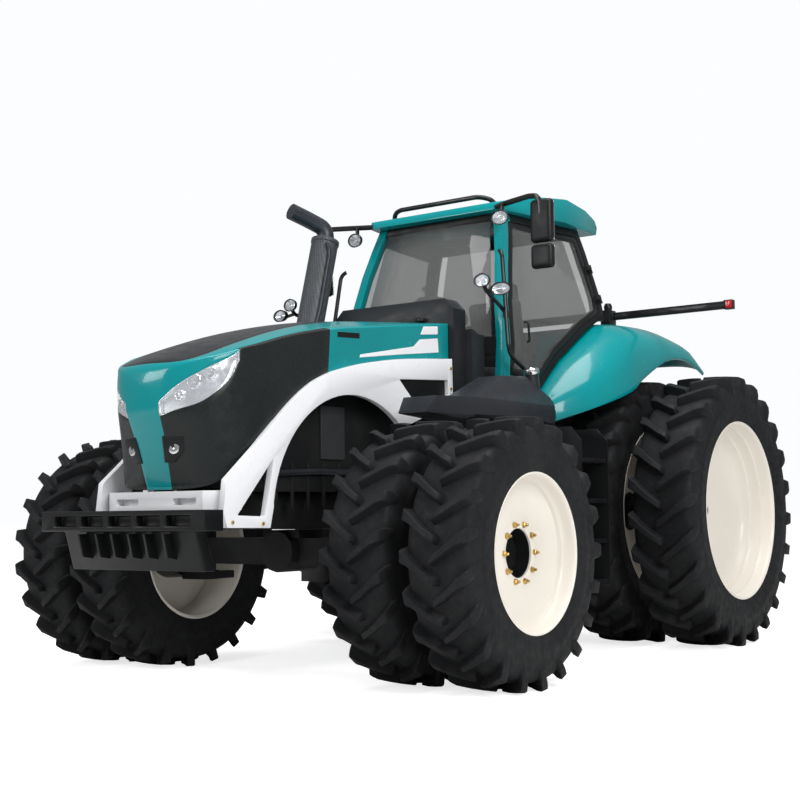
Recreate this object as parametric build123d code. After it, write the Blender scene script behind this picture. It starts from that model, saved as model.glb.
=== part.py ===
from build123d import *
import os
from math import cos, dist, radians, sin

os.makedirs("parts", exist_ok=True)

# Farm tractor with dual wheels on both axles. Lengths in mm, angles in degrees.
# X is the tractor's left, Y runs rearward from the front axle, Z is up from the ground.

# ---------------------------------------------------------------- driving dimensions
wheelbase = 3050
front_reach = 1476            # front axle to the weight carrier's face
rear_reach = wheelbase + 1130 # front axle to the lower links' ends
front_axle_y = -(rear_reach - front_reach) / 2   # the front axle's place once the length is centred on Y = 0

wall = 6                      # sheet parts
panel = 12                    # bonnet, fenders and other thick mouldings
seam = 6                      # gap between a moving panel and its neighbour
running = 0.05                # radial clearance of a shaft in its bore
seat_gap = 0.3                # a piece laid against another body

# Tyres. Columns: lug tip radius, tread radius, rim seat radius, tread half width,
# bead half width, lugs on each side, lug lead, lug width at its inner and outer end
tyre_sizes = {
    "front": (777.5, 722, 445, 208, 197, 16, 150, 46, 62),
    "rear": (1007, 944, 648, 234, 212, 15, 175, 52, 72),
}
lug_sink = 25                 # how far a lug's root reaches into the tread
lug_setback = 6               # from the shoulder's edge to a lug's outer end
lug_overlap = 12              # how far a lug's inner end passes the tyre's centre line

# Wheels. Columns: inner and outer wheel centres from the tractor's centre line, disc's place in
# the inner and outer rim, centre hole radius
wheel_sizes = {
    "front": (1044, 1594, 74, 74, 140.5),
    "rear": (920, 1565, -60, -60, 140.5),
}
rear_cover_hole = 26          # the hole at the middle of the rear outer disc
rim_facets = 20
rim_lip = 12                  # how far the rim's flange stands above the bead seat
rim_bevel = 8
rim_wall = 8
disc_thick = 14
disc_step = 28                # from the bead seat down to the disc's edge
hub_radius = 190
hub_facets = 10
spacer_radius = 200

# Front axle and steering
kingpin_x = 775
kingpin_radius = 40
kingpin_boss_radius = 75
kingpin_boss_half = 130
axle_beam_half = 85
yoke_gap = 2
yoke_thick = 60
spindle_radius = 70
spindle_end_x = 1080

# Rear axle
rear_shaft_radius = 60
trumpet_radius = 165
trumpet_end_x = 610

# Front frame, weight carrier, engine and driveline
frame_half = 230
frame_bottom = 905
frame_top = 1140
carrier_half = 653
carrier_depth = 146
carrier_bottom = 919
carrier_top = 1033
carrier_pockets = 5
engine_half = 330
engine_front = -640
engine_rear = 720
engine_bottom = 980
engine_top = 1860
gearbox_half = 300
gearbox_bottom = 560
gearbox_top = 1330

# Bonnet: (y, z) along the side, widths at its stations
bonnet_half = 486
bonnet_rear = 1084
bonnet_rear_low = 2065
bonnet_rear_top = 2338
hinge_lift = 14               # the hinge line lies this far above the bonnet's rear top edge
hinge_back = -10
bonnet_hinge_x = 250
top_clear = 40                # from the lofted top up to the side view that trims the nose
bonnet_pin_radius = 10
chin = (-1172, 1150)
nose = [(-1190, 1190), (-1249, 1430), (-1319, 1586), (-1338, 1700), (-1328, 1824)]
crown = [(-1290, 1872), (-960, 2010), (-570, 2130), (-181, 2215), (400, 2296)]
band_top = [(1084, 2065), (480, 2012), (60, 1945), (-261, 1862), (-589, 1683), (-937, 1388), (-1165, 1204)]
crease = [(-1330, 1770), (-963, 1937), (-587, 2056), (-181, 2150), (500, 2240), (1084, 2312)]
grille_rear_top = (-181, 2150)
grille_rear_low = (-261, 1862)
stripe_half_low = 81
stripe_half_high = 158
lamp_profile = [(-1345, 1592), (-1189, 1640), (-1040, 1722), (-988, 1812), (-963, 1930), (-1180, 1850), (-1345, 1760)]

# White side frame with its wheel arch
side_frame_x = 478            # inner face
side_frame_thick = 40
arch_radius = 770
arch_y = -10
arch_z = 969

# Cowl behind the bonnet
cowl_front = 1098
cowl_rear = 1250
cowl_half = 524
cowl_bottom = 1500
cowl_top = 2490
cowl_corner = 150

# Cab. Its sides are one barrel surface of flats that widens towards the rear
cab_floor_z = 1660
cab_floor_thick = 50
cab_floor_half = 650
side_curve = [(715, 1680), (713, 2200), (674, 2560), (626, 2820), (577, 3020), (526, 3195)]   # half width and height at side_curve_y
side_curve_y = 1500
side_flare = 0.121            # gain in half width per length rearward
cab_front_edge = [(1425, 1690), (1445, 1930), (1497, 2515), (1576, 2801), (1706, 3195)]
cab_rear_edge = [(2655, 3195), (2690, 2900), (2744, 2640), (2750, 2475)]
cab_lower_edge = [(2680, 2475), (2480, 2372), (2300, 2250), (2105, 2125), (1830, 1850), (1830, 1690)]
post_depth = 62               # post's width seen from the side
post_thick = 70
cab_rear_y = 2750
glass_thick = 8
screen_low_z = 2250
screen_bulge = 120
roof_front = 1605
roof_rear = 2930
roof_half_front = 590
roof_half_rear = 700
roof_rise = 190               # the crown above the cab's top
door_thick = 36
door_frame_width = 42
door_low_z = 1965             # the door's front lower edge clears the tank
door_hinge_out = 22           # the hinge line lies this far outside the rear post,
door_hinge_back = 20          # and this far behind the opening's rear edge
door_pin_radius = 8
door_eye_radius = 15
hinge_height = 34

# Rear fenders
fender_inner = 650
fender_wall = 30
# Its sections, front to rear. Columns: y, height beside the cab, then (x, z) out to its lower edge
fender_sections = [
    (1840, 1835, (790, 1832), (850, 1815), (890, 1760), (900, 1666)),
    (2115, 2105, (840, 2095), (960, 2040), (1060, 1930), (1100, 1775)),
    (2490, 2350, (820, 2345), (980, 2305), (1120, 2180), (1180, 1909)),
    (2690, 2448, (800, 2445), (980, 2400), (1125, 2280), (1180, 2015)),
    (3100, 2465, (850, 2462), (1000, 2425), (1130, 2330), (1180, 2180)),
    (3412, 2440, (900, 2436), (1020, 2400), (1135, 2320), (1180, 2222)),
    (3640, 2380, (900, 2376), (1030, 2345), (1140, 2285), (1180, 2190)),
    (3830, 2220, (900, 2218), (1040, 2205), (1140, 2175), (1180, 2130)),
]

# Tank and toolbox beside the cab, ladders behind them
tank_inner = 745
tank_outer = 1000
tank_profile = [(130, 1618), (190, 1722), (640, 1742), (1060, 1915), (1420, 1940), (1640, 1800), (1650, 1592),
                (1430, 1640), (640, 1630), (530, 1592)]
ladder_inner = 900
ladder_outer = 1250
ladder_tyre_gap = 90          # from the ladder's rear plate to the rear tyres
ladder_rear = wheelbase - 1010 - ladder_tyre_gap
ladder_front = ladder_rear - 390
ladder_top = 1585
ladder_steps = 4
ladder_pitch = 280

# Exhaust
stack_x = -662
stack_foot = (853, 1950)
stack_head = (1162, 3045)
stack_radius = 105
pipe_radius = 62

# Hitch: lower links, lift arms and lift rods form a parallelogram
link_x = 430
link_front = (3210, 560)
link_length = 970
lift_reach = 520              # pivot to lift rod, on link and on lift arm
lift_arm_pivot = (3180, 1250)
link_pin_radius = 18.5
drawbar_pin_radius = 15.5
lift_rod_gap = 60             # from the link's middle up to the rod's open end, clear when the link tilts


# ---------------------------------------------------------------- shapes used by many pieces
def block(x, y, z):
    """Box between three (low, high) pairs."""
    centre = Pos(sum(x) / 2, sum(y) / 2, sum(z) / 2)
    return centre * Box(x[1] - x[0], y[1] - y[0], z[1] - z[0])


def side_plate(outline, x):
    """Plate whose (y, z) outline is seen from the side, between two x planes."""
    face = make_face(Polyline(*[(x[0], y, z) for y, z in outline], close=True))
    return extrude(face, amount=x[1] - x[0], dir=(1, 0, 0))


def front_plate(outline, y):
    """Plate whose (x, z) outline is seen from the front, between two y planes."""
    face = make_face(Polyline(*[(x, y[0], z) for x, z in outline], close=True))
    return extrude(face, amount=y[1] - y[0], dir=(0, 1, 0))


def plan_plate(outline, z):
    """Plate whose (x, y) outline is seen from above, between two z planes."""
    face = make_face(Polyline(*[(x, y, z[0]) for x, y in outline], close=True))
    return extrude(face, amount=z[1] - z[0], dir=(0, 0, 1))


def other_side(shape):
    return mirror(shape, about=Plane.YZ)


def both_sides(shape):
    return Part(children=[]) + shape + other_side(shape)


def drum(radius, x, sides, y=0, z=0):
    """Prism of few flats along X between two x planes."""
    return Plane(origin=(x[0], y, z), z_dir=(1, 0, 0)) * extrude(RegularPolygon(radius, sides), amount=x[1] - x[0])


def shaft(radius, x, y=0, z=0):
    """Round bar along X between two x planes."""
    return Pos((x[0] + x[1]) / 2, y, z) * Rot(Y=90) * Cylinder(radius, x[1] - x[0])


def post(radius, x, y, z):
    """Round bar along Z between two z planes."""
    return Pos(x, y, (z[0] + z[1]) / 2) * Cylinder(radius, z[1] - z[0])


def bar(points, width, depth):
    """Rectangular tube bent sharply through points, width measured along X where it can be."""
    path = Polyline(*points)
    start = Plane(origin=points[0], x_dir=(1, 0, 0) if points[0][0] == points[1][0] else None,
                  z_dir=Vector(*points[1]) - Vector(*points[0]))
    return sweep(start * Rectangle(width, depth), path=path, transition=Transition.RIGHT)


def tube(points, radius, sides=6):
    """Tube of few flats bent through points."""
    start = Plane(origin=points[0], z_dir=Vector(*points[1]) - Vector(*points[0]))
    return sweep(start * RegularPolygon(radius, sides), path=Polyline(*points), transition=Transition.RIGHT)


def faceted(sections):
    """Solid of flats through closed sections of equally many points, its ends filled."""
    loops = [loop + loop[:1] for loop in sections]
    flats = [sections[0], sections[-1]]
    for near, far in zip(loops, loops[1:]):
        for a, b, c, d in zip(near, near[1:], far[1:], far):
            flats += [[a, b, c], [a, c, d]] if dist(a, c) <= dist(b, d) else [[a, b, d], [b, c, d]]
    return Solid(Shell([Face(Wire.make_polygon(flat, close=True)) for flat in flats])).clean()


def ring(section, facets):
    """Ring about X from an (x, r) section, mitred round a regular polygon. r is at mid-facet."""
    half = radians(180 / facets)
    start = section[0][1]
    corner = start / cos(half)
    corners = [(0, -corner * sin((2 * i + 1) * half), corner * cos((2 * i + 1) * half)) for i in range(facets)]
    path = Polyline((0, 0, start), *corners, (0, 0, start))
    face = make_face(Polyline(*[(x, 0, r) for x, r in section], close=True))
    return sweep(face, path=path, transition=Transition.RIGHT)


def save(node, shape):
    """Writes one sub-part, moved so that the tractor's length is centred on the origin."""
    export_step(Pos(0, front_axle_y, 0) * shape, f"parts/{node}.step")


# ---------------------------------------------------------------- tyres and wheels
def axle_height(axle):
    """A tyre stands on a lug's flat top, so the axle is a little lower than the tip radius."""
    tip, lead, width = (tyre_sizes[axle][i] for i in (0, 6, 8))
    return (tip ** 2 - (lead / 2 + width / 2) ** 2) ** 0.5


axle_y = {"front": 0, "rear": wheelbase}
axle_z = {axle: axle_height(axle) for axle in tyre_sizes}


def lug(axle, side):
    """Bar from the tyre's centre line out to one shoulder. Its inner end leads as the tractor drives forward."""
    tip, tread, seat, half, bead, count, lead, inner, outer = tyre_sizes[axle]
    outline = [(-lug_overlap, -lead / 2 - inner / 2), (-lug_overlap, -lead / 2 + inner / 2),
               (half - lug_setback, lead / 2 + outer / 2), (half - lug_setback, lead / 2 - outer / 2)]
    root = tread - lug_sink
    return plan_plate([(side * x, y) for x, y in outline], (root, axle_z[axle]))


def tyre(axle):
    """Tread ring of flats with two staggered rows of lugs, standing on a lug."""
    tip, tread, seat, half, bead, count, lead, inner, outer = tyre_sizes[axle]
    pitch = 360 / count
    carcass = ring([(-bead, seat + seat_gap), (-half, tread), (half, tread), (bead, seat + seat_gap)], count)
    lugs = [Rot(X=pitch * (i + row)) * lug(axle, side) for i in range(count) for side, row in ((1, 0), (-1, 0.5))]
    return Rot(X=180) * carcass.fuse(*lugs)


def rim(axle, disc_x, hole):
    """Rim with its flanges and its dished disc, centred on the rim's middle."""
    seat, bead = tyre_sizes[axle][2], tyre_sizes[axle][4]
    edge = bead + seat_gap
    lip = edge + rim_bevel
    front, back = disc_x + disc_thick / 2, disc_x - disc_thick / 2
    section = [(-lip, seat + rim_lip), (-edge, seat), (edge, seat), (lip, seat + rim_lip), (lip, seat - rim_wall),
               (front, seat - disc_step), (front, hole), (back, hole), (back, seat - disc_step), (-lip, seat - rim_wall)]
    true = cos(radians(180 / rim_facets))
    return ring([(x, r * true) for x, r in section], rim_facets)


def front_wheels():
    """Hub, two rims and the drum that spaces them, on the left. The hub's bore turns on the knuckle's spindle."""
    inner_x, outer_x, inner_disc, outer_disc, hole = wheel_sizes["front"]
    face = inner_x + inner_disc - disc_thick / 2
    outer_face = outer_x + outer_disc - disc_thick / 2
    hub = drum(hub_radius, (face - 190, face + 1), hub_facets)
    spacer = drum(spacer_radius, (face + disc_thick - 1, outer_face + 1), hub_facets)
    body = hub + drum(hole + 3, (face, face + disc_thick), rim_facets) + spacer
    for x, disc in ((inner_x, inner_disc), (outer_x, outer_disc)):
        body += Pos(x, 0, 0) * rim("front", disc, hole)
    body -= drum(hole - 4, (outer_face - 90, outer_face + 2), hub_facets)
    return body - shaft(spindle_radius + running, (face - 200, spindle_end_x + 6))


def rear_wheels():
    """Bar axle, its hubs and two rims, on the left. The outer disc closes over the bar's end."""
    inner_x, outer_x, inner_disc, outer_disc, hole = wheel_sizes["rear"]
    body = shaft(rear_shaft_radius, (trumpet_end_x - 160, outer_x + outer_disc))
    for x, disc, centre in ((inner_x, inner_disc, hole), (outer_x, outer_disc, rear_cover_hole)):
        face = x + disc
        body += Pos(x, 0, 0) * rim("rear", disc, centre)
        body += drum(hole + 50, (face - 60, face), hub_facets) + drum(hole - 30, (face - 130, face - 50), hub_facets)
    return body


def save_wheels():
    for axle in ("front", "rear"):
        inner_x, outer_x = wheel_sizes[axle][:2]
        rubber = tyre(axle)
        wheels = front_wheels() if axle == "front" else rear_wheels()
        at_axle = Pos(0, axle_y[axle], axle_z[axle])
        for side, name in ((1, "left"), (-1, "right")):
            pair = [at_axle * Pos(side * x, 0, 0) * rubber for x in (inner_x, outer_x)]
            save(f"tyres_{axle}_{name}", Compound(children=pair))
            save(f"wheels_{axle}_{name}", at_axle * (wheels if side == 1 else other_side(wheels)))


# ---------------------------------------------------------------- axles, frame and driveline
def front_axle():
    """Beam with a differential housing and a boss for each kingpin."""
    z = axle_z["front"]
    half = axle_beam_half
    beam = block((-kingpin_x, kingpin_x), (-half, half), (z - half, z + half))
    housing = Pos(0, 0, z) * Rot(X=90) * extrude(RegularPolygon(axle_beam_half + 45, 12), amount=half + 75, both=True)
    boss = both_sides(Pos(kingpin_x, 0, z) * extrude(RegularPolygon(kingpin_boss_radius, 12),
                                                     amount=kingpin_boss_half, both=True))
    saddle = block((-150, 150), (-120, 120), (z + half - 1, frame_bottom - seat_gap))
    body = beam + housing + boss + saddle
    bore = post(kingpin_radius + running, kingpin_x, 0, (z - kingpin_boss_half - 1, z + kingpin_boss_half + 1))
    return body - both_sides(bore)


def knuckle():
    """Yoke and kingpin round the axle's boss, with the spindle that carries the wheels, on the left."""
    z = axle_z["front"]
    low, high = z - kingpin_boss_half - yoke_gap, z + kingpin_boss_half + yoke_gap
    cheek_x = kingpin_x + kingpin_boss_radius + 30
    ears = [block((kingpin_x - 60, cheek_x + 40), (-70, 70), span)
            for span in ((low - yoke_thick, low), (high, high + yoke_thick))]
    cheek = block((cheek_x, cheek_x + 40), (-70, 70), (low - yoke_thick, high + yoke_thick))
    pin = post(kingpin_radius, kingpin_x, 0, (low - yoke_thick, high + yoke_thick))
    arm = block((kingpin_x - 40, kingpin_x + 40), (60, 240), (low - yoke_thick, low - 10))
    return cheek + ears[0] + ears[1] + pin + arm + shaft(spindle_radius, (cheek_x, spindle_end_x), 0, z)


def front_frame():
    """Casting that carries the engine's front, the axle and the weight carrier."""
    rear = engine_rear
    front = -front_reach + carrier_depth
    return side_plate([(front, 930), (front, 1025), (-1000, 1025), (-900, frame_top), (rear, frame_top), (rear, 1000),
                       (200, frame_bottom), (-300, frame_bottom)], (-frame_half, frame_half))


def weight_carrier():
    """Upper bar with a row of pockets, and the lower block that the weights hook on."""
    front = -front_reach
    upper = block((-carrier_half, carrier_half), (front, front + carrier_depth), (carrier_bottom, carrier_top))
    pitch = 2 * (carrier_half - 90) / carrier_pockets
    pockets = [block((-carrier_half + 90 + pitch * i + 20, -carrier_half + 90 + pitch * (i + 1) - 20),
                     (front - 1, front + 60), (carrier_bottom + 28, carrier_top - 28)) for i in range(carrier_pockets)]
    lower = side_plate([(front + 60, carrier_bottom), (front + 126, 700), (front + 226, 700),
                        (front + carrier_depth, carrier_bottom)], (-520, 520))
    return upper.cut(*pockets) + lower


def engine():
    """Plain block in place of the engine and the radiator before it."""
    radiator = block((-engine_half + 20, engine_half - 20), (-980, engine_front + 1), (frame_top + 20, 1780))
    feet = block((-200, 200), (engine_front - 200, engine_front), (frame_top + seat_gap, frame_top + 21))
    main = block((-engine_half, engine_half), (engine_front, engine_rear), (frame_top + seat_gap, engine_top))
    return main + radiator + feet


def transmission():
    """Gearbox and rear axle housing with a trumpet to each side for the bar axle."""
    y, z = wheelbase, axle_z["rear"]
    box = side_plate([(engine_rear + seat_gap, 940), (engine_rear + seat_gap, gearbox_top), (3250, gearbox_top),
                      (3330, 1180), (3330, 640), (3200, gearbox_bottom), (1500, gearbox_bottom), (1000, 640)],
                     (-gearbox_half, gearbox_half))
    trumpets = both_sides(drum(trumpet_radius, (gearbox_half - 1, trumpet_end_x), 12, y, z))
    bores = both_sides(shaft(rear_shaft_radius + running, (trumpet_end_x - 165, trumpet_end_x + 1), y, z))
    pto = Pos(0, 3360, 830) * Rot(X=90) * Cylinder(22.5, 100)
    brackets = both_sides(block((link_x - 175, link_x - 45), (link_front[0] - 90, link_front[0] + 60),
                                (link_front[1] - 60, link_front[1] + 240)))
    return box + trumpets + pto + brackets - bores


def drawbar():
    """Bar under the rear housing with a bore for the implement's pin, and the hanger that holds it."""
    z = gearbox_bottom - 110
    tongue = block((-45, 45), (2500, rear_reach - 120), (z, z + 50))
    hanger = block((-90, 90), (3080, 3160), (z, gearbox_bottom - seat_gap))
    front = block((-70, 70), (2500, 2600), (z, gearbox_bottom - seat_gap))
    return tongue + hanger + front - post(drawbar_pin_radius, 0, rear_reach - 190, (z - 1, z + 51))


# ---------------------------------------------------------------- hitch
def lower_links():
    """Two links, each with a pin bore at its front, a lift eye and a ball eye at its rear end."""
    y, z = link_front
    body = block((link_x - 20, link_x + 20), (y - 40, y + link_length), (z - 40, z + 40))
    body -= shaft(link_pin_radius, (link_x - 21, link_x + 21), y + link_length - 45, z)
    return both_sides(body - shaft(20 + running, (link_x - 21, link_x + 21), y, z))


def link_pins():
    y, z = link_front
    return both_sides(shaft(20, (link_x - 46, link_x + 24), y, z))


def lift_arms():
    """Cross shaft on top of the housing with an arm to each lift rod."""
    y, z = lift_arm_pivot
    arms = block((link_x - 90, link_x - 50), (y, y + lift_reach + 45), (z - 45, z + 45))
    stub = drum(60, (gearbox_half + running, link_x - 50), 12, y, z)
    pin = shaft(18, (link_x - 51, link_x + 20), y + lift_reach, z)
    return both_sides(arms + stub + pin)


def lift_rods():
    """Upright rods from the lift arms down to the lower links, open at their lower eyes."""
    y = link_front[0] + lift_reach
    low, high = link_front[1] + lift_rod_gap, lift_arm_pivot[1]
    rod = block((link_x - 18, link_x + 18), (y - 18, y + 18), (low, high - 50)) + block((link_x - 15, link_x + 15), (y - 40, y + 40), (high - 60, high + 40))
    return both_sides(rod - shaft(18 + running, (link_x - 16, link_x + 16), lift_arm_pivot[0] + lift_reach, high))


# ---------------------------------------------------------------- bonnet
def bonnet_outline():
    """Side view of the bonnet. Its top stands clear of the lofted top behind the nose."""
    top = [crown[0]] + [(y, z + top_clear) for y, z in crown[1:]] + [(bonnet_rear, bonnet_rear_top + top_clear)]
    return [chin] + nose + top + band_top


def bonnet_solid(inset):
    """Bonnet as one closed form: side view, plan and rounded top together, drawn in by inset."""
    sections = []
    for (y, z), top in zip(crease, (1890, 2010, 2130, 2215, 2310, 2338)):
        half = bonnet_half - inset
        over = [(half * s, y, z + (top - z) * (1 - s ** 2) - inset) for s in (-1, -0.85, -0.5, 0, 0.5, 0.85, 1)]
        sections.append([(-half, y, 900), *over, (half, y, 900)])
    body = faceted(sections)
    front = -1338 + inset
    nose_x = 150
    plan = make_face([Line((-nose_x, front, 900), (nose_x, front, 900)),
                      Line((nose_x, front, 900), (400 - inset, -1130, 900)),
                      Line((400 - inset, -1130, 900), (bonnet_half - inset, -860, 900)),
                      Line((bonnet_half - inset, -860, 900), (bonnet_half - inset, bonnet_rear, 900)),
                      Line((bonnet_half - inset, bonnet_rear, 900), (-bonnet_half + inset, bonnet_rear, 900)),
                      Line((-bonnet_half + inset, bonnet_rear, 900), (-bonnet_half + inset, -860, 900)),
                      Line((-bonnet_half + inset, -860, 900), (-400 + inset, -1130, 900)),
                      Line((-400 + inset, -1130, 900), (-nose_x, front, 900))])
    return body & extrude(plan, amount=1600, dir=(0, 0, 1))


def bonnet_skin():
    """Shell of the bonnet: open below and behind."""
    outer = bonnet_solid(0) & side_plate(bonnet_outline(), (-600, 600))
    front = [(y + 1.6 * panel, z) for y, z in [chin] + nose + crown[:1]]
    inside = front + [(crown[1][0], crown[1][1] + top_clear), (bonnet_rear + 10, bonnet_rear_top + top_clear),
                      (bonnet_rear + 10, 900), (chin[0] + 1.6 * panel, 900)]
    return outer - (bonnet_solid(panel) & side_plate(inside, (-600, 600)))


def grille_zone():
    """Everything below the crease and before the rear seam, apart from the stripe down the nose."""
    top = [(-1500, 1880)] + [(y, z - 14) for y, z in crease[1:3]] + [(grille_rear_top[0], grille_rear_top[1] - 14)]
    zone = side_plate([(-1500, 900)] + top + [grille_rear_low, (-261, 900)], (-600, 600))
    stripe = front_plate([(-stripe_half_low, 900), (stripe_half_low, 900), (stripe_half_low, 1150),
                          (stripe_half_high, 2400), (-stripe_half_high, 2400), (-stripe_half_low, 1150)], (-1600, 400))
    return zone - stripe


def lamp_zone():
    lamps = side_plate(lamp_profile, (stripe_half_high, 600))
    return both_sides(lamps)


def save_bonnet():
    skin = bonnet_skin()
    lamps = lamp_zone()
    zone = grille_zone()
    save("headlights", skin & lamps)
    save("bonnet_grilles", skin & zone - lamps)
    save("bonnet_shell", skin - zone - lamps + bonnet_eyes())


# ---------------------------------------------------------------- white side frames and bumper
def side_frame():
    """White band over the front wheel, with its leg, cut-outs and wheel arch, on the left."""
    upper = [(y, z - seam) for y, z in reversed(band_top)]
    outline = [(-1189, 1017), (-1165, 1198)] + upper[1:] + [(1090, 1809), (857, 1678), (600, 1559), (466, 1500)] + [
        (466, 900), (-803, 900), (-1157, 932)]
    x = (side_frame_x, side_frame_x + side_frame_thick)
    body = side_plate(outline, x)
    arch = shaft(arch_radius, (x[0] - 1, x[1] + 1), arch_y, arch_z) + block(
        (x[0] - 1, x[1] + 1), (-773, 800), (800, arch_z))
    front_gap = side_plate([(-758, 1331), (-1085, 995), (-837, 987)], (x[0] - 1, x[1] + 1))
    rear_gap = side_plate([(461, 1873), (1030, 1908), (1030, 1800), (860, 1712), (638, 1726)], (x[0] - 1, x[1] + 1))
    bracket = block((engine_half + seat_gap, x[0] + 1), (620, 700), (1730, 1800))
    return body - arch - front_gap - rear_gap + bracket


def bumper():
    """White bumper below the nose, from one leg to the other, with two slots."""
    plan = [(-side_frame_x + seat_gap, -1000), (-side_frame_x + seat_gap, -1120), (-372, -1202), (372, -1202),
            (side_frame_x - seat_gap, -1120), (side_frame_x - seat_gap, -1000), (340, -1110), (-340, -1110)]
    body = plan_plate(plan, (1031, 1140))
    slots = [block((x - 90, x + 90), (-1210, -1150), (1062, 1100)) for x in (-230, 230)]
    hold = block((-200, 200), (-1150, -1100), (1025 + seat_gap, 1032))
    return body.cut(*slots) + hold


def cowl():
    """Arched bulkhead between the bonnet and the windscreen, with the bonnet's hinge pins."""
    face = Plane(origin=(0, cowl_front, 0), x_dir=(1, 0, 0), z_dir=(0, -1, 0))
    height = cowl_top - cowl_bottom
    outline = face * Pos(0, (cowl_top + cowl_bottom) / 2) * Rectangle(2 * cowl_half, height)
    body = extrude(outline, amount=cowl_rear - cowl_front, dir=(0, 1, 0))
    tops = body.edges().filter_by(Axis.Y).group_by(Axis.Z)[-1]
    y, z = bonnet_rear + hinge_back, bonnet_rear_top + hinge_lift
    lug = block((bonnet_hinge_x + 22, bonnet_hinge_x + 42), (y - 14, cowl_front + 1), (z - 10, z + 14))
    pin = shaft(bonnet_pin_radius, (bonnet_hinge_x - 22, bonnet_hinge_x + 23), y, z)
    return chamfer(tops, cowl_corner / 2) + both_sides(lug + pin)


def bonnet_eyes():
    """Eyes on the bonnet's rear edge that turn on the cowl's pins."""
    y, z = bonnet_rear + hinge_back, bonnet_rear_top + hinge_lift
    x = (bonnet_hinge_x - 20, bonnet_hinge_x + 20)
    eye = drum(bonnet_pin_radius + 6, x, 8, y, z) + block(x, (y - 10, y + 8), (z - 36, z))
    return both_sides(eye - shaft(bonnet_pin_radius + running, (x[0] - 1, x[1] + 1), y, z))


# ---------------------------------------------------------------- cab
def side_face(outline, inset=0):
    """Flat (y, z) face inboard of the cab's left side, drawn in by inset all round."""
    face = make_face(Polyline(*[(300, y, z) for y, z in outline], close=True))
    return offset(face, amount=-inset, kind=Kind.INTERSECTION) if inset else face


def cab_side(thick, face):
    """Piece of the cab's curved left side, as thick as given, over a flat face."""
    outer = [(w, 0, z) for w, z in side_curve]
    inner = [(w - thick, 0, z) for w, z in reversed(side_curve)]
    band = make_face(Polyline(*outer, *inner, close=True))
    ends = [Pos(side_flare * (y - side_curve_y), y, 0) * band for y in (1300, 2900)]
    return loft(ends, ruled=True) & extrude(face, amount=700, dir=(1, 0, 0))


def door_hinges():
    """Planes of the lower and upper hinge on the door's leaning hinge line, X pointing outwards."""
    ends = []
    for y, z in (cab_rear_edge[2], cab_rear_edge[1]):
        (low_w, low_z), (high_w, high_z) = next(p for p in zip(side_curve, side_curve[1:]) if p[1][1] >= z)
        half = low_w + (high_w - low_w) * (z - low_z) / (high_z - low_z)
        line_y = y - post_depth + door_hinge_back
        ends.append(Vector(half + side_flare * (line_y - side_curve_y) + door_hinge_out, line_y, z))
    line = ends[1] - ends[0]
    out = Vector(1, 0, 0) - line * (line.X / line.length ** 2)
    return [Plane(origin=ends[0] + line * share, x_dir=out, z_dir=line) for share in (0, 0.9)]


def door_face(inset):
    """The door's opening in the cab's side, drawn in by inset."""
    front = [(y + post_depth, z) for y, z in cab_front_edge[2:-1]]
    rear = [(y - post_depth, z) for y, z in cab_rear_edge[1:-1]]
    top = cab_front_edge[-1][1] - post_depth
    low = [(2676, 2520), (2440, 2400), (2270, 2290), (2070, 2160), (1790, 1880), (1790, 1720), (1700, 1720),
           (1670, door_low_z), (1520, door_low_z)]
    return side_face(front + [(1760, top), (2600, top)] + rear + low, inset)


def cab_base():
    """Floor, bulkhead below the windscreen and lower rear wall of the cab."""
    half = cab_floor_half
    floor = block((-half, half), (cowl_rear + seat_gap, cab_rear_y), (cab_floor_z - cab_floor_thick, cab_floor_z))
    rear = block((-half + seat_gap, half - seat_gap), (cab_rear_y - 40, cab_rear_y), (cab_floor_z - 1, 2440))
    mounts = [block((x - 70, x + 70), (y - 70, y + 70), (gearbox_top + seat_gap, cab_floor_z - cab_floor_thick + 1))
              for x in (-220, 220) for y in (1500, 2600)]
    front = side_plate([(cowl_rear + seat_gap, cab_floor_z - 1), (cowl_rear + seat_gap, screen_low_z + 30),
                        (1330, screen_low_z), (1400, screen_low_z), (1400, cab_floor_z - 1)], (-580, 580))
    sills = both_sides(block((half - 1, half + 50), (1430, 1830), (cab_floor_z - 40, cab_front_edge[0][1] - seat_gap)))
    return floor + rear + front + mounts + sills


def cab_frame():
    """Posts, roof rails and sills of both sides, joined across at the roof and behind the seat."""
    outline = cab_front_edge + cab_rear_edge + cab_lower_edge
    side = cab_side(post_thick, side_face(outline)) - extrude(door_face(0), amount=700, dir=(1, 0, 0))
    for plane in door_hinges():
        side += plane * Pos(-16, 0, -hinge_height / 2) * Box(48, 24, hinge_height)
        side += plane * Pos(0, 0, 1) * Cylinder(door_pin_radius, 2 * hinge_height)
    body = both_sides(side)
    (fy, fz), (ry, rz) = cab_front_edge[-1], cab_rear_edge[0]
    body += block((-500, 500), (fy, fy + 50), (fz - post_depth, fz))
    body += block((-600, 600), (ry - 50, ry), (rz - post_depth, rz))
    return body + block((-780, 780), (cab_rear_y - 50, cab_rear_y - 5), (2480, 2540))


def roof():
    """Roof shell, rounded up to its crown at the rear, over a lip round the cab's top."""
    low = cab_front_edge[-1][1] + seat_gap
    outline = [(roof_front, low), (roof_front + 25, low + 0.32 * roof_rise), (1760, low + 0.46 * roof_rise),
               (2050, low + 0.82 * roof_rise), (2400, low + roof_rise), (2720, low + 0.87 * roof_rise),
               (2890, low + 0.6 * roof_rise), (roof_rear, low + 0.32 * roof_rise), (roof_rear - 20, low)]
    body = side_plate(outline, (-760, 760))
    wide = roof_half_rear + 30
    plan = plan_plate([(-roof_half_front + 40, roof_front), (roof_half_front - 40, roof_front), (roof_half_front, 1640),
                       (wide, 2350), (roof_half_rear, roof_rear), (-roof_half_rear, roof_rear), (-wide, 2350),
                       (-roof_half_front, 1640)], (low - 1, low + roof_rise + 1))
    return body & plan


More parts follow.
